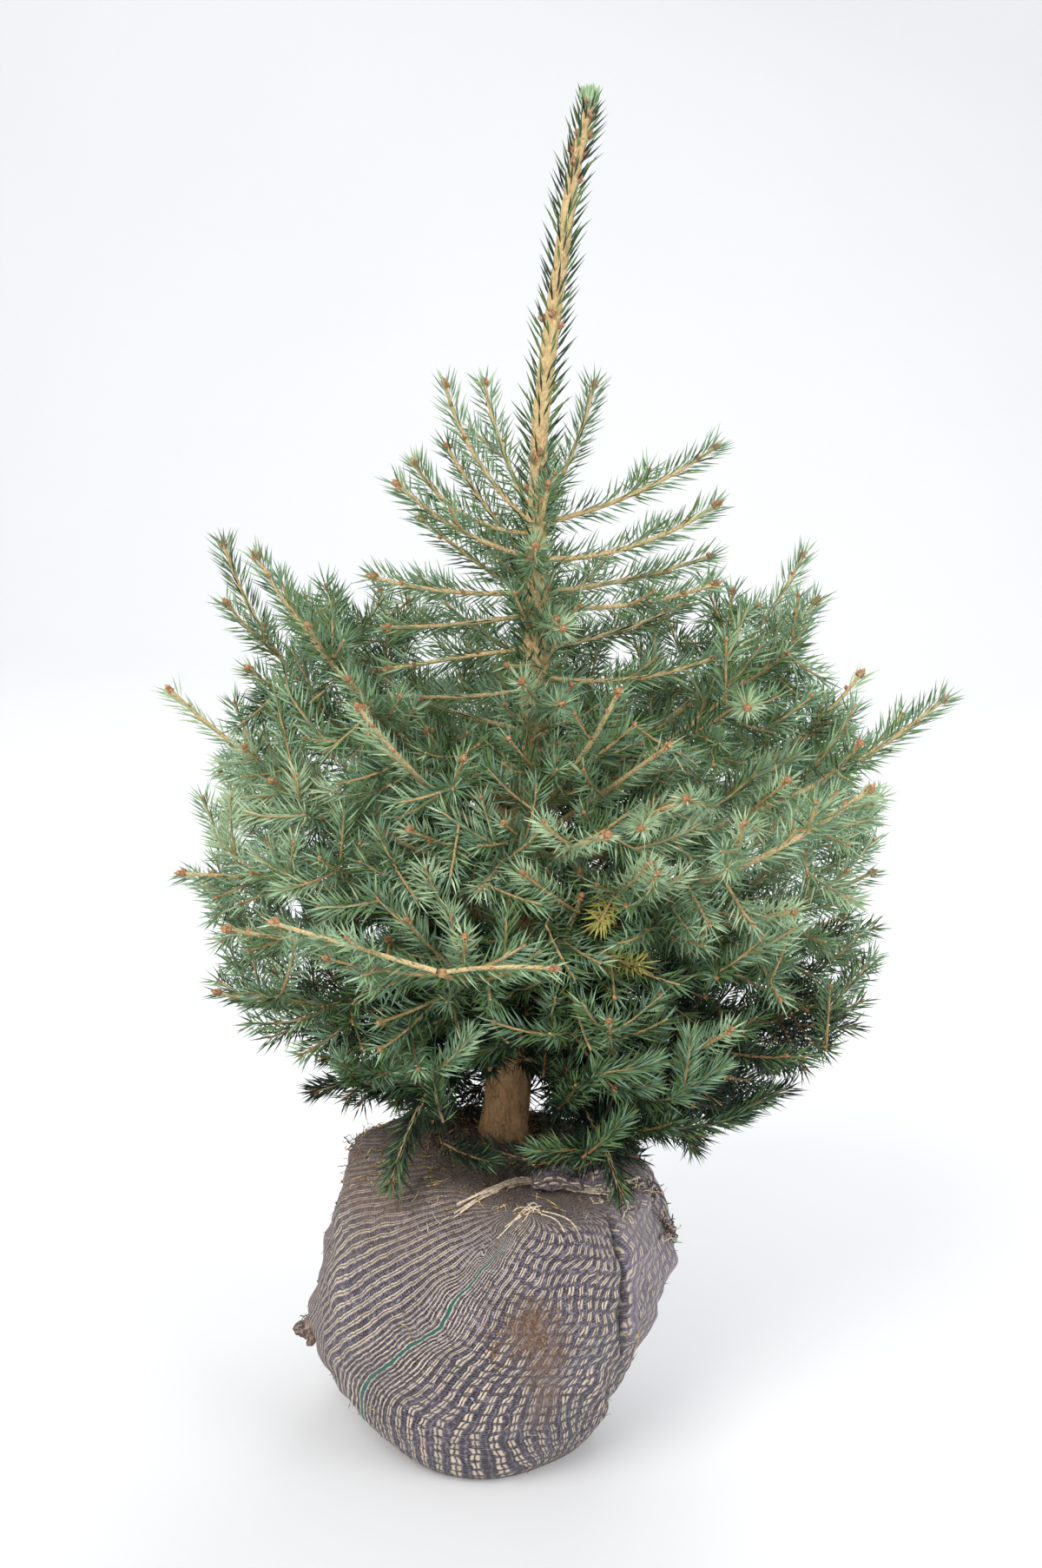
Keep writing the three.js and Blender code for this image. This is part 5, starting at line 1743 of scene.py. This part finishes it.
def cloth_fold(height, turn):
    """Height of the folds and bulges of the cloth, in millimetres."""
    degrees = np.degrees(turn)
    # A long fold down the front right: a slit with a rolled lip on its right side.
    away = from_fold(height, degrees)
    inside = rising(height, 84, 100) * rising(198 - height, 0, 16)
    out = inside * (3.0 * np.exp(-((away - 4.4) / 3.4) ** 2) - 4.6 * np.exp(-(away / 0.9) ** 2))
    # Creases that run to the place where the cloth is gathered on the rim.
    for centre, tilt, wide, tall, low in CREASES:
        away = signed_turn(degrees - centre - tilt * (200 - height))
        fade = rising(height, low, low + 50) * rising(206 - height, 0, 12)
        out += fade * tall * np.exp(-(away / wide) ** 2)
    return out


def at_corners(mesh, values):
    """The points' values at each corner of each face."""
    corners = np.zeros(len(mesh.loops), int)
    mesh.loops.foreach_get("vertex_index", corners)
    return values[corners]


def dress(piece, weave, dust, openness, slit, plain, material):
    """Gives a piece of cloth its weave map, its numbers at the points and its material."""
    piece.data.uv_layers.new(name="weave").data.foreach_set("uv", weave.ravel())
    for name, values in (("slit", slit), ("plain", plain), ("open", openness), ("dust", dust)):
        add_numbers(piece.data, name, np.broadcast_to(values, (len(piece.data.vertices),)))
    piece.data.materials.append(material)


BASE_RINGS, SIDE_RINGS, TOP_RINGS, RING_POINTS = 14, 150, 26, 300
BASE_HOLLOW, TOP_RISE, TRUNK_FOOT = 1.2, 5.5, (12, 30)
SMUDGES = (  # place, half width and half height, strength
    ((34, -113, 130), (17, 20), 0.95), ((44, -110, 108), (13, 26), 0.85), ((46, -106, 74), (12, 24), 0.7),
    ((-60, -60, 196), (30, 20), 0.7), ((-20, 118, 120), (30, 26), 0.6), ((120, 30, 130), (26, 30), 0.5),
    ((-104, 40, 110), (24, 34), 0.45))


def ball_rings():
    """Rings of points of the cloth: from the middle of the base, up the sides and over the top."""
    turn = 2 * math.pi * np.arange(RING_POINTS) / RING_POINTS
    level = np.zeros(RING_POINTS)
    out = np.stack([np.cos(turn), np.sin(turn), level], 1)
    rings = []
    for share in np.linspace(0, 1, BASE_RINGS)[1:]:
        reach = (smooth_reach(0, turn) + cloth_trim(level, turn)) * share
        rings.append(out * reach[:, None] + UP * BASE_HOLLOW * (1 - share))
    for height in np.linspace(0, BALL_TOP, SIDE_RINGS)[1:]:
        heights = level + height
        reach = smooth_reach(height, turn) + cloth_fold(heights, turn) + cloth_trim(heights, turn)
        points = out * reach[:, None] + UP * height
        bump = waves(points, 46, 21) * 1.9 + waves(points, 17, 22) * 0.75
        rings.append(points + out * (bump * min(1, height / 25))[:, None])
    for share in np.linspace(1, 0.1, TOP_RINGS)[1:]:
        points = out * (smooth_reach(BALL_TOP, turn) * share)[:, None]
        points += np.array([TRUNK_FOOT[0], TRUNK_FOOT[1], 0]) * (1 - share)
        points[:, 2] = BALL_TOP + TOP_RISE * (1 - share ** 2) ** 0.8
        bump = waves(points, 30, 23) * 1.6 + waves(points, 9, 24) * 0.9 + waves(points, 4.5, 25) * 0.5
        points[:, 2] += bump * (0.4 + 0.6 * min(1, (1 - share) * 6))
        rings.append(points)
    return rings


def soil_dust(points):
    """How much soil lies on each point of the cloth: on top, on the left shoulder and in smudges."""
    x, y, z = points.T
    dust = rising(z, 182, 198) * 0.45 + rising(z, 197, 201) * 0.3
    dust = np.maximum(dust, rising(-x, 0, 80) * rising(z, 150, 190) * 0.68)
    for (at_x, at_y, at_z), (wide, tall), full in SMUDGES:
        away = np.hypot(np.hypot(x - at_x, y - at_y) / wide, (z - at_z) / tall)
        dust = np.maximum(dust, full * np.clip(1.5 - away, 0, 1))
    return np.maximum(dust, rising(12 - z, 0, 12) * 0.5)


class SAPLING_OT_root_ball(bpy.types.Operator):
    """Makes the root ball in its sacking, with folds, weave and soil dust"""

    bl_idname = "sapling.root_ball"
    bl_label = "Root ball"

    def execute(self, context):
        rings = ball_rings()
        points = np.vstack([*rings, (0, 0, BASE_HOLLOW), (*TRUNK_FOOT, BALL_TOP + TOP_RISE + 1)])
        ball = mesh_object("sacking_cloth", points, closed_faces(len(rings), RING_POINTS))
        weave = yarn_map(points)
        # Where the cloth's ends meet, a face takes all its corners from the same side.
        spread = at_corners(ball.data, weave)
        first = np.repeat(spread[[face.loop_start for face in ball.data.polygons], 0],
                          [face.loop_total for face in ball.data.polygons])
        spread[:, 0] -= np.round((spread[:, 0] - first) / ROUND_CLOTH) * ROUND_CLOTH
        x, y, z = points.T
        away = from_fold(z, np.degrees(np.arctan2(y, x)))
        # Where the slit of the long fold is painted in shade.
        slit = rising(z, 84, 94) * rising(194 - z, 0, 8) * np.clip(1.5 - np.abs(away) / 0.75, 0, 1)
        # The cloth right of the fold is felted, with fewer tan yarns, and is painted lighter as painted
        # light.
        plain = rising(away, 0, 3) * rising(44 - away, 0, 12) * rising(z, 70, 100)
        # How open the cloth is, which sets how much painted shade shows in its gaps: more below 70 mm and
        # where the distance across is under 40 mm.
        openness = np.clip(0.5 + (weave[:, 0] < 40) * 0.45 + (z < 70) * 0.4, 0, 1)
        dress(ball, spread / 100, soil_dust(points), openness, slit, plain,
              weave_material(context.scene.sapling_sacking))
        belongs(ball, ["root_ball"])
        return {"FINISHED"}


ROLL_ROWS, ROLL_STEPS, ROLL_WINDS, ROLL_CLOTH = 34, 58, 2.15, 96
CORNER_WAY = np.array([-1, 0, 0.3]) / math.hypot(1, 0.3)
CORNER_RINGS, CORNER_SIDES, CORNER_SUNK, CORNER_OUT = 26, 40, 7, 6


def wound_cloth():
    """A strip of cloth wound on itself, slack and crumpled: closed rings of points and their weave."""
    coil = np.linspace(0, 1, ROLL_STEPS)
    sheets, weave = [], []
    for share in (row / (ROLL_ROWS - 1) * 2 - 1 for row in range(ROLL_ROWS)):
        turn = 2 * math.pi * ROLL_WINDS * coil + 0.35 * math.sin(3 * share) + 2.2
        reach = 0.2 + 0.8 * coil ** 0.8
        reach = reach * (1 - 0.16 * abs(share) ** 3) + 0.05 * np.sin(5 * turn + 4 * share)
        x = ROLL_HALF[0] * share * (1 + 0.05 * np.sin(3 * turn)) * (1 - 0.12 * (1 - coil))
        middle = np.stack([x, ROLL_HALF[1] * reach * np.cos(turn),
                           ROLL_HALF[2] * 1.04 * reach * np.sin(turn)], 1)
        middle += waves(middle, 13, 31)[:, None] * np.array([0.2, 0.7, 0.7])
        out = np.stack([np.zeros(ROLL_STEPS), np.cos(turn), np.sin(turn)], 1)
        thick = 0.75 * np.sqrt(np.clip(np.sin(np.pi * np.clip(coil, 0.004, 0.996)) * 6, 0, 1))[:, None]
        sheets.append(np.vstack([middle + out * thick, (middle - out * thick)[::-1]]))
        flat = np.stack([coil * ROLL_CLOTH, np.full(ROLL_STEPS, x.mean())], 1)
        weave.append(np.vstack([flat, flat[::-1]]) / 100)
    return np.vstack(sheets), np.vstack(weave)


class SAPLING_OT_rim(bpy.types.Operator):
    """Makes the rolled cloth and the gathered corner of the sacking"""

    bl_idname = "sapling.rim"
    bl_label = "Roll and corner"

    def execute(self, context):
        cloth = bpy.data.materials.get("sacking_weave") or weave_material(context.scene.sapling_sacking)
        self.roll(cloth)
        self.corner(cloth)
        return {"FINISHED"}

    @staticmethod
    def roll(cloth):
        points, weave = wound_cloth()
        spin = math.radians(ROLL_TURN)
        turned = points.copy()
        turned[:, 0] = points[:, 0] * math.cos(spin) - points[:, 1] * math.sin(spin)
        turned[:, 1] = points[:, 0] * math.sin(spin) + points[:, 1] * math.cos(spin)
        sides = ROLL_STEPS * 2
        faces, last = ring_faces(ROLL_ROWS, sides), (ROLL_ROWS - 1) * sides
        for i in range(ROLL_STEPS - 1):
            faces.append((i, sides - 1 - i, sides - 2 - i, i + 1))
            faces.append((last + i, last + i + 1, last + sides - 2 - i, last + sides - 1 - i))
        piece = mesh_object("sacking_roll_cloth", turned + ROLL_AT, faces)
        dress(piece, at_corners(piece.data, weave), 0.35, 0.5, 0, 0, cloth)
        belongs(piece, ["sacking_roll"])

    @staticmethod
    def corner(cloth):
        """A stiff twist of cloth that ends in a point."""
        share = np.linspace(0, 1, CORNER_RINGS)
        path = np.array([np.array(CORNER_AT) - CORNER_WAY * CORNER_SUNK + CORNER_WAY * s
                         for s in np.linspace(0, CORNER_LENGTH + CORNER_OUT, CORNER_RINGS)])
        path[:, 2] += [1.8 * math.sin(i / 4) for i in range(CORNER_RINGS)]
        radii = CORNER_RADIUS * (1.5 - 0.95 * share) * np.where(share > 0.97, 0.35, 1)

        def pleats(share, turn, points):
            folds = 1.7 * np.cos(3 * turn + 3 * share) + 0.9 * np.cos(7 * turn - 5 * share)
            tall = 5.5 * np.abs(np.sin(turn)) ** 2 * (1 - share)
            crumples = waves(points, 3.2, 51) * 0.9
            return (folds * (1 - 0.6 * share) + tall + crumples) * min(1, (1.02 - share) * 5)

        piece = mesh_object("sacking_corner_cloth", *tube(path, radii, CORNER_SIDES, pleats))
        weave = np.array([[v.co.y * 10, v.co.x * 10] for v in piece.data.vertices])
        dress(piece, at_corners(piece.data, weave), 1.0, 0.5, 0, 0, cloth)
        belongs(piece, ["sacking_corner"])


# Loose yarns along the torn edge of the cloth, and places where it frays into a tangle.
TORN_EDGE = [(-17, -83, 196), (-3, -68, 199), (9, -60, 200), (22, -43, 200), (32, -44, 200), (42, -43, 200),
             (58, -52, 198), (75, -49, 196), (88, -40, 194), (102, -22, 190)]
TANGLES = [((79, -49, 196), 16), ((102, -25, 192), 20), ((104, 15, 192), 12), ((119, -13, 183), 20),
           ((130, -19, 167), 22), ((132, -22, 157), 18), ((60, -45, 201), 12), ((90, -58, 190), 12),
           ((-95, 25, 190), 8), ((-60, 85, 196), 8), ((40, 105, 192), 8), ((-122, -4, 68), 10)]


def eased(places, count):
    """A path through places, with its corners rounded."""
    places = np.asarray(places, float)
    length = np.concatenate([[0], np.cumsum(np.linalg.norm(np.diff(places, axis=0), axis=1))])
    path = sampled(places, np.linspace(0, length[-1], count), length)
    for _ in range(2):
        path[1:-1] = (path[:-2] + path[1:-1] * 2 + path[2:]) / 4
    return path


def fibre_material(name, first, second):
    material, graph, shader = new_material(name)
    place = place_of(graph)
    tint = graph.mix(graph.ramp(graph.noise(place, 420, 3, 0.7), 0.38, 0.64), first, second)
    graph.give(shader, Base_Color=tint, Roughness=0.9, Specular_IOR_Level=0.2)
    return material


class ClothFace:
    """The outer face of the finished cloth of the ball: its points and the ways out from them."""

    def __init__(self, mesh):
        spots, outs = np.zeros(len(mesh.vertices) * 3), np.zeros(len(mesh.vertices) * 3)
        mesh.vertices.foreach_get("co", spots)
        mesh.vertex_normals.foreach_get("vector", outs)
        self.spots, self.outs = spots.reshape(-1, 3) / MM, outs.reshape(-1, 3)

    def nearest(self, place):
        i = int(((self.spots - place) ** 2).sum(1).argmin())
        return self.spots[i], self.outs[i]

    def lifted(self, place, lift):
        spot, out = self.nearest(place)
        return spot + out * lift


def curl(random, start, way, steps, step, swing):
    """A path that wanders off in a way."""
    path, way = [start], way / np.linalg.norm(way)
    for _ in range(steps):
        way = way + random.normal(size=3) * swing
        way /= np.linalg.norm(way)
        path.append(path[-1] + way * step)
    return np.array(path)


class SAPLING_OT_loose(bpy.types.Operator):
    """Makes the frayed yarns and fibres of the sacking, and the fallen needles and soil crumbs on it"""

    bl_idname = "sapling.loose"
    bl_label = "Frayed yarns and litter"

    def execute(self, context):
        if "sacking_cloth" not in bpy.data.objects:
            raise RuntimeError("Make the root ball first: the loose yarns lie on its cloth.")
        settings, random = context.scene.sapling_sacking, np.random.default_rng(17)
        cloth = ClothFace(bpy.data.objects["sacking_cloth"].data)
        tan = self.torn_edge(cloth, random) + self.gathered_yarns(cloth, random)
        tangles, grey = self.fibres(cloth, random)
        tree = stem_tree()
        for name, rows, kind, first, second in (
                ("frayed_yarns", tan + tangles, "jute_fibres", settings.tan, dimmed(settings.tan, 0.55)),
                ("loose_fibres", grey, "grey_fibres", settings.soil, settings.weft)):
            inputs = {"Sides": 4, "Material": fibre_material(kind, first, second)}
            belongs(made_by(tree, path_mesh(name, rows), inputs))
        self.litter(cloth, random, settings, context.scene.sapling_needles)
        return {"FINISHED"}

    @staticmethod
    def torn_edge(cloth, random):
        """Yarns that run along the torn edge of the cloth, one over another."""
        rows, edge, steps = [], np.array(TORN_EDGE), 40
        for number in range(13):
            first, last = sorted(random.uniform(0, 1, 2))
            first, last = first * 0.6, 0.45 + last * 0.55
            run = eased(edge + random.normal(size=edge.shape) * (2.2, 2.2, 0.8), steps)
            run = run[int(first * (steps - 1)):int(last * (steps - 1)) + 1]
            path = np.array([cloth.lifted(p, 0.9 + 0.25 * number) for p in run])
            path[-1] += (random.uniform(0, 4), -random.uniform(0, 4), random.uniform(0, 4))
            path[0] += (-random.uniform(0, 4), -random.uniform(0, 4), random.uniform(0, 2))
            rows.append((eased(path, max(8, len(path) // 2)), {"girth": random.uniform(0.5, 0.95)}))
        return rows

    @staticmethod
    def gathered_yarns(cloth, random):
        """Loose ends of the tan yarns that meet at the gather."""
        rows = []
        for distance, places in YARN_LINES.items():
            if not -60 < distance < 75:
                continue
            run = [np.array(GATHER) + random.normal(size=3) * (4, 2.5, 1), *map(np.array, places[:2])]
            run = eased(run, 14)[:random.integers(4, 9)]
            run = np.array([cloth.lifted(p + random.normal(size=3) * 0.8, 0.55) for p in run])
            rows.append((eased(run, 8), {"girth": random.uniform(0.4, 0.6)}))
        return rows

    @staticmethod
    def fibres(cloth, random):
        """Tangles where the edge frays, and short fibres all over the cloth: tan ones and grey ones."""
        tan, grey = [], []
        for place, count in TANGLES:
            for i in range(count):
                spot, out = cloth.nearest(np.array(place) + random.normal(size=3) * 4)
                way = out + random.normal(size=3) * 0.5
                path = curl(random, spot, way, 8, random.uniform(1.1, 2.1), 0.75)
                (tan if i % 3 == 0 else grey).append((path, {"girth": random.uniform(0.22, 0.5)}))
        x, y, z = cloth.spots.T
        rim = np.flatnonzero((z > 186) & (np.hypot(x, y) > 72))
        side = np.flatnonzero((z > 4) & (z < 186))
        for chosen, count, long, thick in ((rim, 190, 1.9, 0.2), (side, 330, 1.2, 0.17)):
            for i in random.choice(chosen, count):
                way = cloth.outs[i] * 0.7 + random.normal(size=3) * 0.7
                path = curl(random, cloth.spots[i], way, 4, long * random.uniform(0.5, 1.3), 0.35)
                (tan if random.uniform() < 0.25 else grey).append((path, {"girth": thick}))
        return tan, grey

    @staticmethod
    def litter(cloth, random, settings, needles):
        """Fallen needles and crumbs of soil, most of them on the top."""
        x, y, z = cloth.spots.T
        top, front = np.flatnonzero(z > 195), np.flatnonzero((z > 30) & (z < 195))
        chosen = np.concatenate([random.choice(top, 620), random.choice(front, 46)])
        outs, ways = cloth.outs[chosen], random.normal(size=(len(chosen), 3))
        ways -= outs * (ways * outs).sum(1)[:, None]
        ways = ways / np.linalg.norm(ways, axis=1)[:, None] + outs * 0.12
        needle = needle_shape(needles)
        brown = fibre_material("fallen_needles", settings.straw, dimmed(settings.soil, 0.6))
        needle.data.materials.append(brown)
        set_out("fallen_needles", cloth.spots[chosen] + outs * 0.5, ways,
                random.uniform(0.45, 0.85, len(chosen)), needle, brown)
        crumb = crumb_shape()
        soil = fibre_material("soil_crumbs", dimmed(settings.soil, 0.8), dimmed(settings.soil, 2.3))
        crumb.data.materials.append(soil)
        smudged = np.flatnonzero(np.hypot(x - 38, z - 128) + 0.2 * y < 12)
        chosen = np.concatenate([random.choice(where, count) for where, count in (
            (top, 900), (smudged, 140), (front, 60))])
        outs = cloth.outs[chosen]
        set_out("soil_crumbs", cloth.spots[chosen] + outs * 0.3, outs + 0.01,
                random.uniform(0.5, 1.7, len(chosen)), crumb, soil)
        discard(needle, crumb)


class SAPLING_PT_panel(bpy.types.Panel):
    """Lists the steps that make the sapling"""

    bl_idname = "SAPLING_PT_panel"
    bl_label = "Sapling"
    bl_space_type = "VIEW_3D"
    bl_region_type = "UI"
    bl_category = "Sapling"

    def draw(self, context):
        for operator in STEPS:
            self.layout.operator(operator.bl_idname)
        for name, group in SETTINGS:
            box = self.layout.box()
            box.label(text=name.replace("sapling_", "").title())
            for key in group.__annotations__:
                box.prop(getattr(context.scene, name), key)


STEPS = (
    SAPLING_OT_stage, SAPLING_OT_trunk, SAPLING_OT_boughs, SAPLING_OT_twigs, SAPLING_OT_needles,
    SAPLING_OT_buds, SAPLING_OT_root_ball, SAPLING_OT_rim, SAPLING_OT_loose)
SETTINGS = (
    ("sapling_needles", SaplingNeedleSettings), ("sapling_wood", SaplingWoodSettings),
    ("sapling_sacking", SaplingSackingSettings), ("sapling_stage", SaplingStageSettings))


def register():
    for name, group in SETTINGS:
        bpy.utils.register_class(group)
        setattr(bpy.types.Scene, name, PointerProperty(type=group))
    for item in (*STEPS, SAPLING_PT_panel):
        bpy.utils.register_class(item)


def unregister():
    for item in (SAPLING_PT_panel, *reversed(STEPS)):
        bpy.utils.unregister_class(item)
    for name, group in reversed(SETTINGS):
        delattr(bpy.types.Scene, name)
        bpy.utils.unregister_class(group)


def main():
    register()
    for operator in STEPS:
        group, name = operator.bl_idname.split(".")
        getattr(getattr(bpy.ops, group), name)()
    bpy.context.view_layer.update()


if __name__ == "__main__":
    main()
